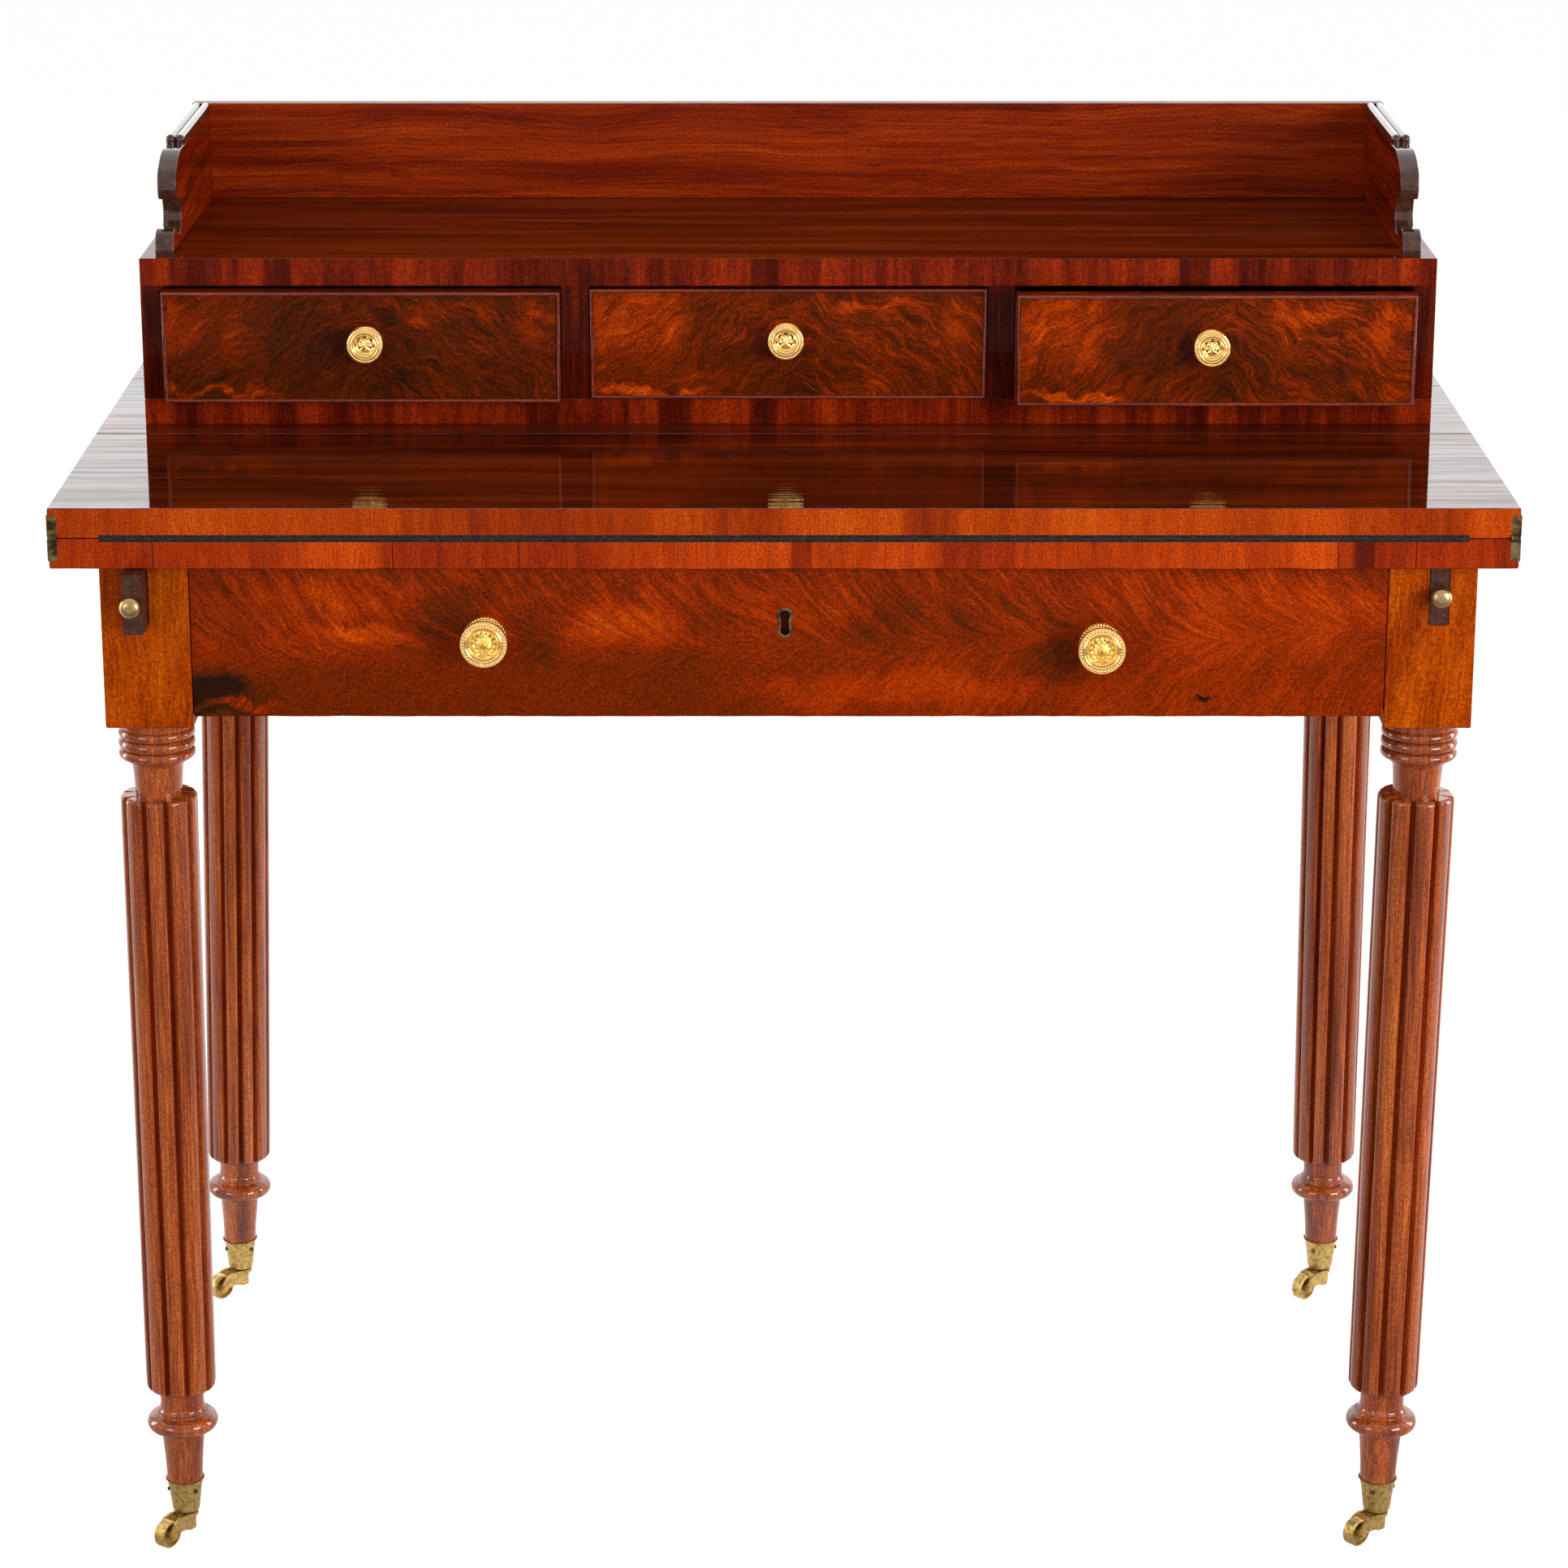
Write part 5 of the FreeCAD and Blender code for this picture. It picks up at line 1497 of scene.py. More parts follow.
    def block(self, shape: Shape) -> None:
        """Adds the square block, with its loper's channel at the front legs.

        Args:
            shape: The shape to add to.
        """
        half, room = self.block_side / 2, self.slot_room
        left, right, low, high = self.x - half, self.x + half, self.block_low, self.block_high
        row, side = self.name.split("_")
        if row == "back":
            corners = (left, self.y - half, low), (right, self.y + half, high)
            shape.bar(*corners, Axis.Z, self.block_round, 0.5, 12.0)
            return
        loper_low, loper_high = span("loper_" + side)
        inner, outer, floor = loper_low[0] - room, loper_high[0] + room, loper_low[2] - room
        outline = [
            (left, low), (right, low), (right, high), (outer, high),
            (outer, floor), (inner, floor), (inner, high), (left, high),
        ]
        rounded = []
        for i, (x, z) in enumerate(outline):
            nx, nz = outline[(i + 1) % len(outline)]
            size = min(self.slot_round, 0.3 * math.hypot(nx - x, nz - z))
            px, pz = outline[i - 1]
            one = Vector((px - x, pz - z)).normalized() * size
            two = Vector((nx - x, nz - z)).normalized() * size
            middle = (0.3 * (one.x + two.x), 0.3 * (one.y + two.y))
            rounded += [(x + u, z + v) for u, v in ((one.x, one.y), middle, (two.x, two.y))]
        shape.slab(rounded, -half, half, 0.9, facing_front(0, self.y, 0))

    def build(self) -> None:
        """Makes the leg."""
        shape = Shape()
        self.block(shape)
        place = self.lean()
        shape.turned(self.rings_outline(), self.steps, place, self.turned_mark)
        self.shaft(shape)
        shape.turned(self.foot_outline(), self.steps, place, self.turned_mark)
        finishes = [Finish.BLOCK, Finish.LEG, Finish.VALLEY]
        shape.made("turned_leg_" + self.name, "desk", "mahogany_leg", finishes, "leg_" + self.name, 35)


@dataclass
class CasterCups:
    """The four brass cups, each with a thin flared lip."""

    high: float = 47.4
    low: float = 21.0
    bore: float = 3.1
    base: float = 3.1
    lip: tuple = (
        (11.9, 5.6), (12.05, 5.3), (12.05, 4.7), (12.3, 4.4), (12.6, 2.2), (13.1, 1.2), (13.9, 0.5),
        (14.1, 0.1), (13.9, 0.0), (13.4, 0.3), (12.9, 0.9), (11.3, 1.0),
    )
    steps: int = 72

    def outline(self) -> list:
        """The closed outline of one cup, from its bore round the outside to its hollow.

        Returns:
            Radii and heights.
        """
        low, inside = self.low, self.low + self.base
        points = [(self.bore, low), (6.8, low), (8.3, low + 0.5), (9.3, low + 1.5), (9.8, low + 3.0)]
        return points + below(self.high, self.lip) + [(8.4, inside), (self.bore, inside)]

    def build(self) -> None:
        """Makes the cups."""
        shape = Shape()
        for name in LEG_VALLEYS:
            x, y = foot_place(name)
            rings = []
            for radius, z in self.outline():
                rings.append([(u, v, z) for u, v in circle(radius, self.steps, x, y)])
            shape.rings(rings, looped=True)
        shape.made("caster_cup_shells", "desk", "aged_brass", [Finish.AGED], "caster_cups", 50)


@dataclass
class DrawerKnob:
    """A stamped knob: a beaded rim, a hollow ring, a round ring and a rosette, on a beaded plate.

    The head's outline gives shares of the knob's radius and of its rise above the base."""

    name: str
    body: str
    node: str
    x: float
    y: float
    z: float
    radius: float
    reach: float
    plate: float
    board: float
    beads: int
    petals: int
    base: float = 2.2
    stem: float = 2.4
    stem_end: float = 3.2
    nut: float = 5.2
    nut_low: float = 2.8
    nut_high: float = 0.25
    bead_row_share: tuple = (0.87, 0.895)
    head: tuple = (
        (0.28, 0.0), (0.26, 0.15), (0.27, 0.35), (0.34, 0.5), (0.5, 0.6), (0.72, 0.66), (0.88, 0.7),
        (0.96, 0.76), (1.0, 0.83), (0.995, 0.88), (0.965, 0.915), (0.93, 0.915), (0.92, 0.885),
        (0.87, 0.88), (0.82, 0.885), (0.81, 0.93), (0.785, 0.965), (0.74, 0.985), (0.7, 0.965),
        (0.675, 0.93), (0.665, 0.88), (0.65, 0.88), (0.64, 0.94), (0.615, 0.955), (0.59, 0.94),
        (0.555, 0.89), (0.51, 0.83), (0.47, 0.77), (0.44, 0.74),
    )
    rosette: float = 0.42
    rosette_rings: int = 9
    steps: int = 180

    def face(self) -> list:
        """Rings of the knob's head, from the neck round the rim to the middle.

        Returns:
            The rings.
        """
        rise = self.reach - self.base
        rings = [self.ring(share * self.radius, self.base + up * rise) for share, up in self.head]
        rose = self.rosette * self.radius
        for k in range(self.rosette_rings):
            part = 1 - k / self.rosette_rings
            swell = math.sin(math.pi * min(1.0, part * 1.02)) ** 0.6 if part < 1 else 0.0
            ring = []
            for i in range(self.steps):
                a = TURN * i / self.steps
                lobe = 0.5 + 0.5 * math.cos(self.petals * a)
                reach = rose * part * (1 - 0.1 * (1 - lobe) * part)
                height = self.base + rise * (0.72 + 0.12 * (1 - part) + 0.06 * swell * lobe ** 0.7)
                ring.append((reach * math.cos(a), reach * math.sin(a), height))
            rings.append(ring)
        return rings + [[(0, 0, self.base + rise * 0.86)]]

    def ring(self, radius: float, height: float) -> list:
        """One plain ring of the turned form."""
        return [(x, y, height) for x, y in circle(radius, self.steps)]

    def bead_row(self, shape: Shape, radius: float, height: float, size: float, place: Matrix) -> None:
        """Adds a row of beads.

        Args:
            shape: The shape to add to.
            radius: The radius of the row.
            height: The height of the beads' middles.
            size: The radius of one bead.
            place: Where the knob is.
        """
        turns = [math.pi * k / 6 for k in range(1, 6)]
        bead = [(0, -size), *((size * math.sin(a), -size * math.cos(a)) for a in turns), (0, size)]
        for x, y in circle(radius, self.beads):
            shape.turned(bead, 8, place @ Matrix.Translation((x, y, height)))

    def build(self) -> None:
        """Makes the knob."""
        shape = Shape()
        place = facing_front(self.x, self.y, self.z)
        end = -self.board - self.stem_end
        shaft = [[(0, 0, end)], self.ring(self.stem, end), self.ring(self.stem, 2.0)]
        shape.rings(shaft + self.face(), place)
        share, up = self.bead_row_share
        row = share * self.radius
        bead = math.pi * row * 0.95 / self.beads
        self.bead_row(shape, row, self.base + (self.reach - self.base) * up, bead, place)
        p = self.plate
        plate = [
            (2.5, 0.02), (p - 0.1, 0.02), (p, 0.8), (p - 0.4, 1.4), (p - 0.9, 1.4), (p - 1.1, 1.0),
            (p - 2.9, 1.0), (p - 3.3, 1.5), (p - 4.2, 1.7), (p - 5.6, 2.15), (2.5, 2.2),
        ]
        shape.rings([self.ring(r, h) for r, h in plate], place, looped=True)
        self.bead_row(shape, p - 2.0, 1.1, 0.9, place)
        n = self.nut
        nut = [(-n, -n), (n, -n), (n, n), (-n, n)]
        shape.slab(nut, -self.board - self.nut_low, -self.board - self.nut_high, 0.3, place)
        shape.made(self.name, self.body, "gilt_brass", [Finish.GILT], self.node, 50)


@dataclass
class Top:
    """The leaf, the bed and the fixed rear board, with pockets for the baize, hinges and bolt."""

    past: float = 2.0
    plate_depths: tuple = (0.85, 15.75)
    plate_inner: float = 488.95
    plate_outer: float = 497.0
    plate_length: float = 8.05
    arm_inner: float = 491.95
    arm_length: float = 54.6
    arm_round: float = 7.45
    knuckle: float = 2.72
    knuckle_front: float = 0.2
    bolt_room: float = 0.3

    def pockets(self, way: int) -> list:
        """The hollows for the baize and the hinge plates, and the bed's mortise.

        Args:
            way: 1 for the leaf, -1 for the bed.

        Returns:
            The shapes to cut away.
        """
        low, high = span("leaf_baize" if way > 0 else "bed_baize")
        front = span("leaf")[0][1]
        start, end = front - self.past, front + self.arm_length
        cloth = (low[2] - 1, high[2]) if way > 0 else (low[2], high[2] + 1)
        found = [box_shape((low[0], high[0]), (start, high[1]), cloth)]
        pin = joint("leaf_hinge")["pos_m"][2] / MM
        z = sorted(pin + way * depth for depth in self.plate_depths)
        if way < 0:
            found.append(self.mortise())
        arm = [(start, z[0]), (end, z[0])]
        for k in range(1, 12):
            a = math.pi * (k / 12 - 0.5)
            arm.append((end + self.arm_round * math.cos(a), (z[0] + z[1]) / 2 + self.arm_round * math.sin(a)))
        arm += [(end, z[1]), (start, z[1])]
        knuckle = circle(self.knuckle, 32, front - self.knuckle_front, pin)
        for side in (-1, 1):
            plate = sorted((side * self.plate_inner, side * self.plate_outer))
            found.append(box_shape(plate, (start, front + self.plate_length), z))
            found.append(prism(arm, sorted((side * self.arm_inner, side * self.plate_outer)), Axis.X))
            found.append(prism(knuckle, plate, Axis.X))
        return found

    def mortise(self) -> Shape:
        """The hole in the bed that the lock bolt rises into.

        Returns:
            The shape to cut away.
        """
        low, high = span("lock_bolt")
        rise = joint("lock_bolt_slide")["range_m"][1] / MM
        x, y = ((low[k] - self.bolt_room, high[k] + self.bolt_room) for k in (0, 1))
        floor = span("top_bed")[0][2]
        return box_shape(x, y, (floor - 1, floor + rise + 1))

    def build(self) -> None:
        """Makes the boards."""
        for name, body, node, finish, way in (
            ("writing_leaf", "leaf", "leaf", Finish.TOP, 1),
            ("bed_board", "desk", "top_bed", Finish.BED, -1),
            ("rear_board", "desk", "rear_top", Finish.TOP, 0),
        ):
            board = Shape()
            board.bar(*span(node), round_mm=0.9, wear=0.6)
            piece = board.made(name, body, "mahogany_top", [finish], node)
            if way:
                carved(piece, self.pockets(way))


@dataclass
class FriezeDrawer:
    """The long drawer's veneered front, its keyhole plate and its knobs.

    The plate's rim gives how far outside the hole and how deep behind the front each point is."""

    keyhole_height: float = 17.3
    keyhole_radius: float = 3.4
    keyhole_neck: float = 2.5
    keyhole_foot: float = 3.1
    recess: tuple = (2.25, -2.0, 6.2)
    opening: tuple = (0.1, 5.0, 24.0)
    rim: tuple = (
        (2.2, 6.0), (2.2, 0.25), (1.95, -0.05), (1.5, -0.18), (0.8, -0.18), (0.35, -0.1), (0.1, 0.2),
        (0.0, 6.0),
    )
    knob_radius: float = 16.4

    def __post_init__(self) -> None:
        """Finds the front and its fittings from the frame."""
        self.low, self.high = span("frieze_drawer_front")
        self.face_y = self.low[1]
        plate_low, plate_high = span("escutcheon")
        self.keyhole_x = (plate_low[0] + plate_high[0]) / 2
        self.keyhole_z = (plate_low[2] + plate_high[2]) / 2

    def keyhole(self, band: float) -> list:
        """The keyhole's outline, widened by a band all round, anticlockwise seen from the front.

        Args:
            band: How far outside the hole the outline runs.

        Returns:
            Points as (x, z).
        """
        top = self.keyhole_z + self.keyhole_height / 2 - self.keyhole_radius
        radius = self.keyhole_radius + band
        neck = self.keyhole_neck + band
        foot = self.keyhole_foot + band
        rise = math.sqrt(radius ** 2 - neck ** 2)
        low = self.keyhole_z - self.keyhole_height / 2
        points = [(-foot, low + 2.6), (-foot * 0.75, low + 1.1 - band * 0.55), (0, low - band)]
        points += [(foot * 0.75, low + 1.1 - band * 0.55), (foot, low + 2.6)]
        points += [(foot * 0.93, low + 3.6), (neck, low + 5.6), (neck - 0.1, top - rise - 1.2)]
        start = math.atan2(-rise, neck)
        for k in range(17):
            a = start + (math.pi - 2 * start) * k / 16
            points.append((radius * math.cos(a), top + radius * math.sin(a)))
        points += [(-neck + 0.1, top - rise - 1.2), (-neck, low + 5.6), (-foot * 0.93, low + 3.6)]
        return [(self.keyhole_x + x, z) for x, z in points]

    def pockets(self) -> list:
        """The hollows for the keyhole plate and the lock, and the keyhole itself.

        Returns:
            The shapes to cut away.
        """
        found = []
        for band, near, far in (self.recess, self.opening):
            found.append(prism(self.keyhole(band), (self.face_y + near, self.face_y + far), Axis.Y))
        low, high = span("lock_case")
        x = (low[0] - 0.1, high[0] + 0.1)
        return found + [box_shape(x, (low[1] - 0.1, self.high[1] + 2), (low[2] - 0.2, self.high[2] + 2))]

    def build(self) -> None:
        """Makes the front, the keyhole plate and the knobs."""
        body = "frieze_drawer"
        board = Shape()
        board.bar(self.low, self.high, round_mm=1.1, wear=0.7)
        front = board.made(
            "frieze_front_board", body, "mahogany_veneer", [Finish.FRIEZE], "frieze_drawer_front",
        )
        carved(front, self.pockets())
        plate = Shape()
        rings = []
        for band, depth in self.rim:
            rings.append([(x, self.face_y + depth, z) for x, z in self.keyhole(band)])
        plate.rings(rings, looped=True)
        plate.made("keyhole_plate", body, "aged_brass", [Finish.DULL], "escutcheon", 50)
        low, high = span("frieze_knobs")
        r = self.knob_radius
        for word, x, z in (("left", low[0] + r, high[2] - r), ("right", high[0] - r, low[2] + r)):
            knob = DrawerKnob(
                "frieze_knob_" + word, body, "frieze_knobs", x, self.face_y, z,
                radius=r, reach=20.0, plate=15.7, board=20.0, beads=40, petals=12,
            )
            knob.build()


@dataclass
class SmallDrawer:
    """A small drawer's front: flame veneer in a frame of thin rounded beads, and a knob."""

    which: str
    finish: Finish
    bead: float = 2.5
    bead_depth: float = 7.5
    bead_rise: float = 1.5

    def beads(self) -> None:
        """Makes the mitred frame of cock beads."""
        low, high = span("small_drawer_front_" + self.which)
        half = self.bead / 2
        section = [(-half, self.bead_depth), (-half, 0.0)]
        for k in range(1, 8):
            a = math.pi * (1 - k / 8)
            section.append((half * math.cos(a), -self.bead_rise * math.sin(a) ** 0.8))
        section += [(half, 0.0), (half, self.bead_depth)]
        left, right = (low[0], 1), (high[0], -1)
        under, over = (low[2], 1), (high[2], -1)
        rings = []
        for (x, x_way), (z, z_way) in ((left, under), (right, under), (right, over), (left, over)):
            rings.append([(x + x_way * (half - u), low[1] + v, z + z_way * (half - u)) for u, v in section])
        shape = Shape()
        shape.rings(rings, looped=True)
        shape.made(
            "cock_beads_" + self.which, "small_drawer_" + self.which, "mahogany_case", [Finish.BEAD],
            "small_drawer_beads_" + self.which, 55,
        )

    def build(self) -> None:
        """Makes the beads and the knob, and dresses the front."""
        self.beads()
        front = "small_drawer_front_" + self.which
        dress(front, self.finish)
        node = "small_drawer_knob_" + self.which
        low, high = span(node)
        knob = DrawerKnob(
            "small_knob_" + self.which, "small_drawer_" + self.which, node,
            (low[0] + high[0]) / 2, span(front)[0][1], (low[2] + high[2]) / 2,
            radius=13.0, reach=14.0, plate=13.0, board=16.0, beads=52, petals=6,
        )
        knob.build()


@dataclass
class Gallery:
    """The gallery's shaped sides and their double-reed mouldings."""

    thick: float = 13.5
    rim_round: float = 0.9
    reed: float = 3.45
    reed_room: float = 0.02

    def __post_init__(self) -> None:
        """Finds the sides' and the mouldings' limits from the frame."""
        self.low, self.high = span("gallery_sides")
        self.case_y = span("case_shelf")[0][1]
        self.reed_low, self.reed_high = span("gallery_mouldings")

    def placed(self, u: float, v: float) -> tuple:
        """A point of the side's outline from its shares of length and height."""
        length, height = self.high[1] - self.case_y, self.high[2] - self.low[2]
        return (self.case_y + u * length, self.low[2] + v * height)

    def outline(self) -> list:
        """The side's outline, anticlockwise seen from +X.

        Returns:
            Points as (y, z).
        """
        p = self.placed
        points = [p(0.067, 0.0), p(0.067, 0.09)]
        points += arc(points[-1], p(0.085, 0.2), p(0.13, 0.24), 8)
        points.append(p(0.16, 0.24))
        points += arc(points[-1], p(0.262, 0.37), p(0.235, 0.513), 14)
        points.append(p(0.173, 0.53))
        points += arc(points[-1], p(0.163, 0.72), p(0.2, 0.875), 12)
        points += arc(points[-1], p(0.26, 0.975), p(0.339, 1.0), 8)
        points += [(self.high[1], self.high[2]), (self.high[1], self.low[2])]
        return points[::-1]

    def build(self) -> None:
        """Makes the sides and the mouldings."""
        sides = Shape()
        reeds = Shape()
        place = Matrix(((0, 0, 1, 0), (1, 0, 0, 0), (0, 1, 0, 0), (0, 0, 0, 1)))
        for x in (self.low[0], self.high[0] - self.thick):
            sides.slab(self.outline(), x, x + self.thick, self.rim_round, place, 1)
            for way in (-1, 1):
                self.reed_bar(reeds, x + self.thick / 2 + way * self.reed)
        front = Finish.GALLERY_FRONT
        finishes = [Finish.GALLERY_SIDE, front]
        sides.made("gallery_shaped_sides", "desk", "mahogany_case", finishes, "gallery_sides", 45)
        reeds.made("gallery_reeds", "desk", "mahogany_case", [front], "gallery_mouldings", 50)

    def reed_bar(self, shape: Shape, x: float) -> None:
        """Adds one reed with its round front end.

        Args:
            shape: The shape to add to.
            x: The reed's middle.
        """
        r = self.reed
        start, end = self.reed_low[1], self.reed_high[1]
        rings = [[(x, start, self.reed_high[2] - r)]]
        for k in range(1, 9):
            a = math.pi / 2 * k / 8
            rings.append(self.reed_ring(x, start + r * (1 - math.cos(a)), r * math.sin(a)))
        for k in range(1, 14):
            rings.append(self.reed_ring(x, start + r + (end - start - r) * k / 13, r))
        shape.rings(rings)

    def reed_ring(self, x: float, y: float, half: float) -> list:
        """One cross-section of a reed: a half circle above, straight sides below.

        Args:
            x: The reed's middle.
            y: How far back the cross-section is.
            half: The half circle's radius.

        Returns:
            Its points.
        """
        foot, centre = self.high[2] + self.reed_room, self.reed_high[2] - self.reed
        ring = [(x + half, y, foot)]
        for k in range(13):
            a = math.pi * k / 12
            ring.append((x + half * math.cos(a), y, centre + half * math.sin(a)))
        return ring + [(x - half, y, foot)]


def dress(name: str, finish: Finish, round_mm: float = 0.0) -> None:
    """Gives a CAD node its finish and, if asked, softened edges.

    Args:
        name: The node's name.
        finish: Its finish.
        round_mm: The width of the softened edges.
    """
    node = frame["nodes"][name]
    node.data.materials.clear()
    node.data.materials.append(finish.made())
    if round_mm:
        weld = node.modifiers.new("seams", "WELD")
        weld.merge_threshold = 0.00001
        soft = node.modifiers.new("soft_edges", "BEVEL")
        soft.width = round_mm * MM
        soft.segments = 2
        soft.limit_method = "ANGLE"
        soft.angle_limit = math.radians(50)
        soft.harden_normals = True
    log.info("%s: %s", name, finish.value.name)


@dataclass
class CarriedNodes:
    """The CAD nodes that stay, by their finishes and the softness of their edges."""

    finishes: tuple = (
        (Finish.SIDE_RAIL, 0.8, "side_rails"),
        (Finish.RAIL, 0.8, "back_rail"),
        (Finish.LINING, 0.5, "front_bearer frieze_drawer_back case_back"),
        (Finish.LINING_SIDE, 0.5, "drawer_runners loper_guides frieze_drawer_sides"),
        (Finish.BAIZE, 0.0, "bed_baize leaf_baize"),
        (Finish.DULL, 0.0, "hinge_plates_lower hinge_plates_upper hinge_screws_lower hinge_screws_upper"),
        (Finish.DULL, 0.0, "caster_screws"),
        (Finish.LOPER, 0.6, "loper_left loper_right"),
        (Finish.RUBBED, 0.0, "loper_knob_left loper_knob_right"),
        (Finish.LINING, 0.4, "frieze_drawer_bottom"),
        (Finish.IRON, 0.4, "lock_case"),
        (Finish.AGED, 0.3, "lock_bolt"),
        (Finish.CASE, 0.8, "case_bottom case_shelf"),
        (Finish.UPRIGHT, 0.6, "case_uprights"),
        (Finish.GALLERY, 0.8, "gallery_back"),
        (Finish.LINING_SIDE, 0.4, "small_drawer_box_left small_drawer_box_middle small_drawer_box_right"),
        (Finish.LINING_SIDE, 0.4, "small_drawer_dividers"),
    )

    def build(self) -> None:
        """Dresses every carried node, the casters' forks and wheels too."""
        for finish, round_mm, names in self.finishes:
            for name in names.split():
                dress(name, finish, round_mm)
        for name in frame["nodes"]:
            if name.startswith(("caster_fork_", "caster_wheel_")):
                dress(name, Finish.AGED)


@dataclass
class Studio:
    """The photographer's studio, in metres.

    It is a pale floor that runs on as a white sweep, two soft boxes at the front, a gridded strip
    box at each side and a low card in front, which mostly show as reflections in the polish, and
    a lit wall behind."""

    camera_place: tuple = (0.0, -3.21806, 1.49997)
    camera_pitch: float = 17.1
    lens_mm: float = 104.348
    floor_half: float = 9.0
    floor_drop: float = 0.00005
    floor_glow: float = 0.84
    lamps: tuple = (
        ("key_right", (2.5, -2.3, 1.25), (0.0, 0.0, 0.55), (1.5, 1.5), 10.5, 1.0),
        ("fill_left", (-2.3, -2.7, 1.15), (0.0, 0.0, 0.55), (1.3, 1.3), 5.0, 1.0),
        ("strip_left", (-2.6, 0.5, 0.8), (0.0, 0.0, 0.6), (0.6, 1.7), 8.0, 0.2),
        ("strip_right", (2.6, 0.5, 0.8), (0.0, 0.0, 0.6), (0.6, 1.7), 8.0, 0.2),
        ("card_in_front", (0.0, -2.7, 0.02), (0.0, -2.2, 1.0), (2.6, 1.4), 1.0, 0.2),
        ("wall_behind", (0.0, 3.6, 1.6), (0.0, 0.0, 0.9), (6.5, 1.8), 0.95, 1.0),
    )

    def camera(self) -> None:
        """Sets the camera up as the photograph was taken."""
        data = bpy.data.cameras.new("studio_camera")
        data.lens = self.lens_mm
        data.sensor_width = 36.0
        data.sensor_fit = "HORIZONTAL"
        data.clip_end = 50
        camera = hung("studio_camera", data)
        camera.location = self.camera_place
        camera.rotation_euler = (math.radians(90 - self.camera_pitch), 0, 0)
        bpy.context.scene.camera = camera

    def soft_box(self, name: str, place: tuple, aim: tuple, size: tuple, radiance: float, lit: float) -> None:
        """Hangs one soft box.

        Args:
            name: The lamp's name.
            place: Where it is.
            aim: The point that it faces.
            size: Its width and height.
            radiance: How bright its face is, where 1 is white.
            lit: How much of its light reaches matt surfaces. A gridded box mostly shows in shiny ones.
        """
        data = bpy.data.lights.new(name, "AREA")
        data.shape = "RECTANGLE"
        data.size, data.size_y = size
        data.energy = radiance * math.pi * size[0] * size[1]
        data.diffuse_factor = lit
        lamp = hung(name, data)
        lamp.location = place
        lamp.rotation_euler = (Vector(aim) - Vector(place)).to_track_quat("-Z", "Y").to_euler()
        lamp.visible_camera = False

    def floor(self) -> None:
        """Lays the pale floor. It looks white from the camera, and in the polish behind the desk."""
        material, tree = new_material("white_studio_paper")
        paper = add(tree, "BsdfDiffuse", {"Color": linear("#a3a2a0")})
        path = add(tree, "LightPath")
        seen = add(tree, "Math", {0: path.outputs["Is Camera Ray"], 1: self.floor_glow}, operation="MULTIPLY")
        depth = add(tree, "SeparateXYZ", {0: add(tree, "TexCoord").outputs["Object"]}).outputs[1]
        behind = add(
            tree, "MapRange",
            {"Value": depth, "From Min": -0.5, "From Max": 0.3, "To Min": 0.0, "To Max": 0.9},
        )
        share = add(
            tree, "Math", {0: path.outputs["Is Glossy Ray"], 1: behind, 2: seen}, operation="MULTIPLY_ADD",
        )
        glow = add(tree, "Emission", {"Color": linear("#ffffff"), "Strength": share})
        shader = add(tree, "AddShader", {0: paper, 1: glow})
        add(tree, "OutputMaterial", {"Surface": shader})
        half, z = self.floor_half, -self.floor_drop
        mesh = bpy.data.meshes.new("studio_floor")
        corners = [(-half, -half, z), (half, -half, z), (half, half, z), (-half, half, z)]
        mesh.from_pydata(corners, [], [[0, 1, 2, 3]])
        mesh.materials.append(material)
        hung("studio_floor", mesh)

    def world(self) -> None:
        """Fills the room with soft light, and shows white behind the desk."""
        world = bpy.data.worlds.new("studio_room")
        world.use_nodes = True
        tree = world.node_tree
        tree.nodes.clear()
        path = add(tree, "LightPath")
        way = add(tree, "SeparateXYZ", {0: add(tree, "TexCoord").outputs["Generated"]})
        mirrored = add(
            tree, "MapRange",
            {"Value": way.outputs[1], "From Min": -0.35, "From Max": 0.1, "To Min": 0.85, "To Max": 1.2},
        )
        room = add(tree, "Mix", {0: path.outputs["Is Glossy Ray"], 2: 0.42, 3: mirrored})
        clear = add(
            tree, "Math", {0: path.outputs["Is Camera Ray"], 1: path.outputs["Is Transmission Ray"]},
            operation="MAXIMUM",
        )
        level = add(tree, "Mix", {0: clear, 2: room, 3: 1.0})
        sky = add(tree, "Background", {"Color": linear("#ffffff"), "Strength": level})
        add(tree, "OutputWorld", {"Surface": sky})
        bpy.context.scene.world = world

    def build(self) -> None:
        """Sets up the studio."""
        self.camera()
        self.floor()
        self.world()
        for lamp in self.lamps:
            self.soft_box(*lamp)
        bpy.context.scene.view_settings.view_transform = "Standard"


# The angles of the valleys that show at the front of each leg, from straight ahead towards +X
LEG_VALLEYS = {
    "front_left": (-59.0, -18.0, 18.0, 60.0), "front_right": (-52.0, -12.0, 28.0, 68.0),
    "back_left": (-20.5, 11.0, 40.5), "back_right": (-32.6, -2.0, 36.0),
}
# How far each leg's turned part stands beside the middle of its block, in millimetres
LEG_SHIFTS = {"front_left": 0.5, "front_right": -0.6, "back_left": 2.0, "back_right": -2.0}
SMALL_DRAWERS = {"left": Finish.SMALL_LEFT, "middle": Finish.SMALL_MIDDLE, "right": Finish.SMALL_RIGHT}


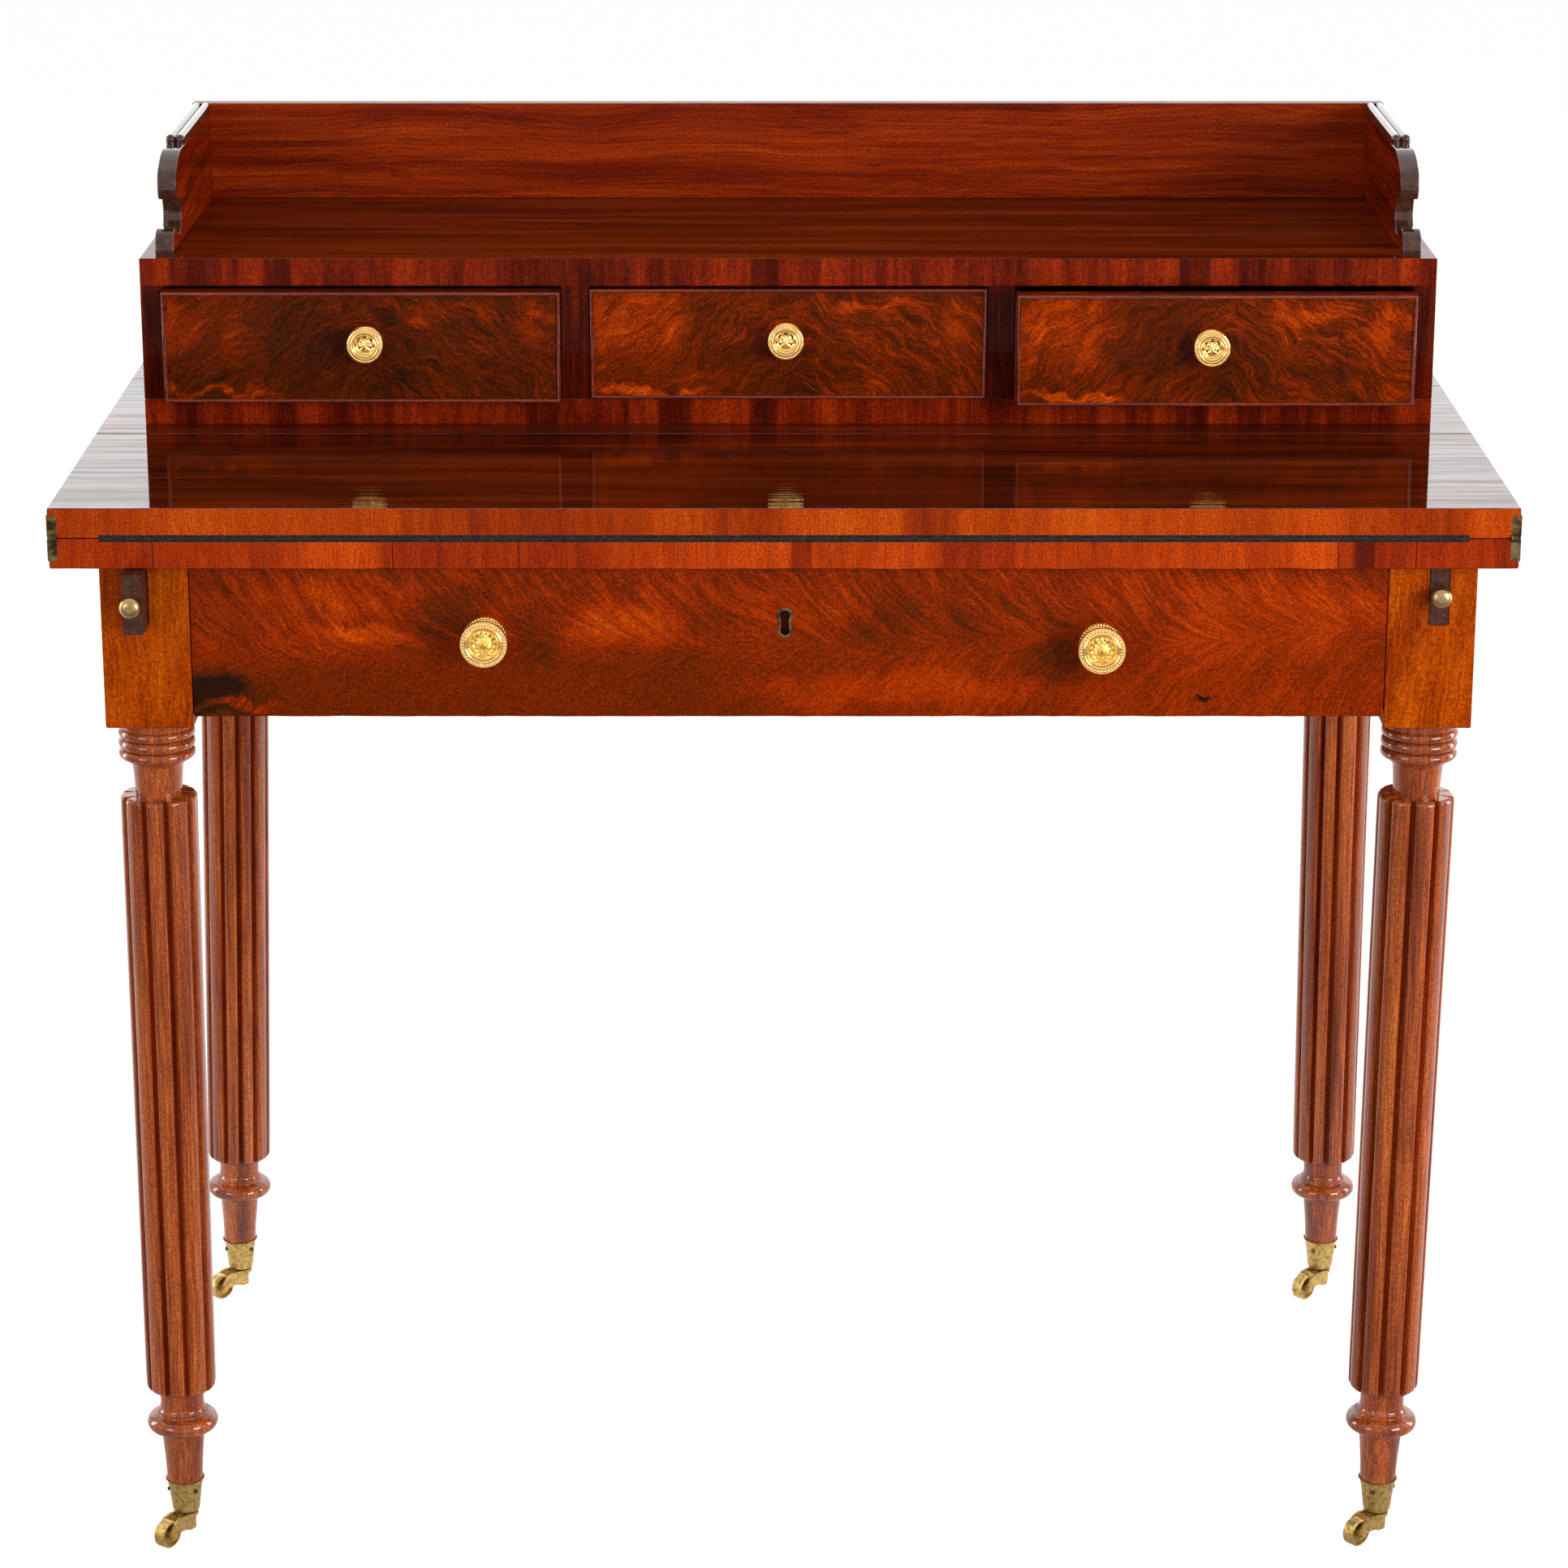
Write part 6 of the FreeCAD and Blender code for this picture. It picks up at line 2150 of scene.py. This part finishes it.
def main() -> None:
    """Builds the studio and the desk's sub-assemblies in order."""
    logging.basicConfig(level=logging.INFO, format="%(name)s %(message)s")
    parts = [Studio(), CarriedNodes(), Top(), FriezeDrawer(), Gallery(), CasterCups()]
    parts += [Leg(name, LEG_VALLEYS[name], LEG_SHIFTS[name]) for name in LEG_VALLEYS]
    parts += [SmallDrawer(which, finish) for which, finish in SMALL_DRAWERS.items()]
    for part in parts:
        log.info("building %s", type(part).__name__)
        part.build()


if __name__ == "__main__":
    main()
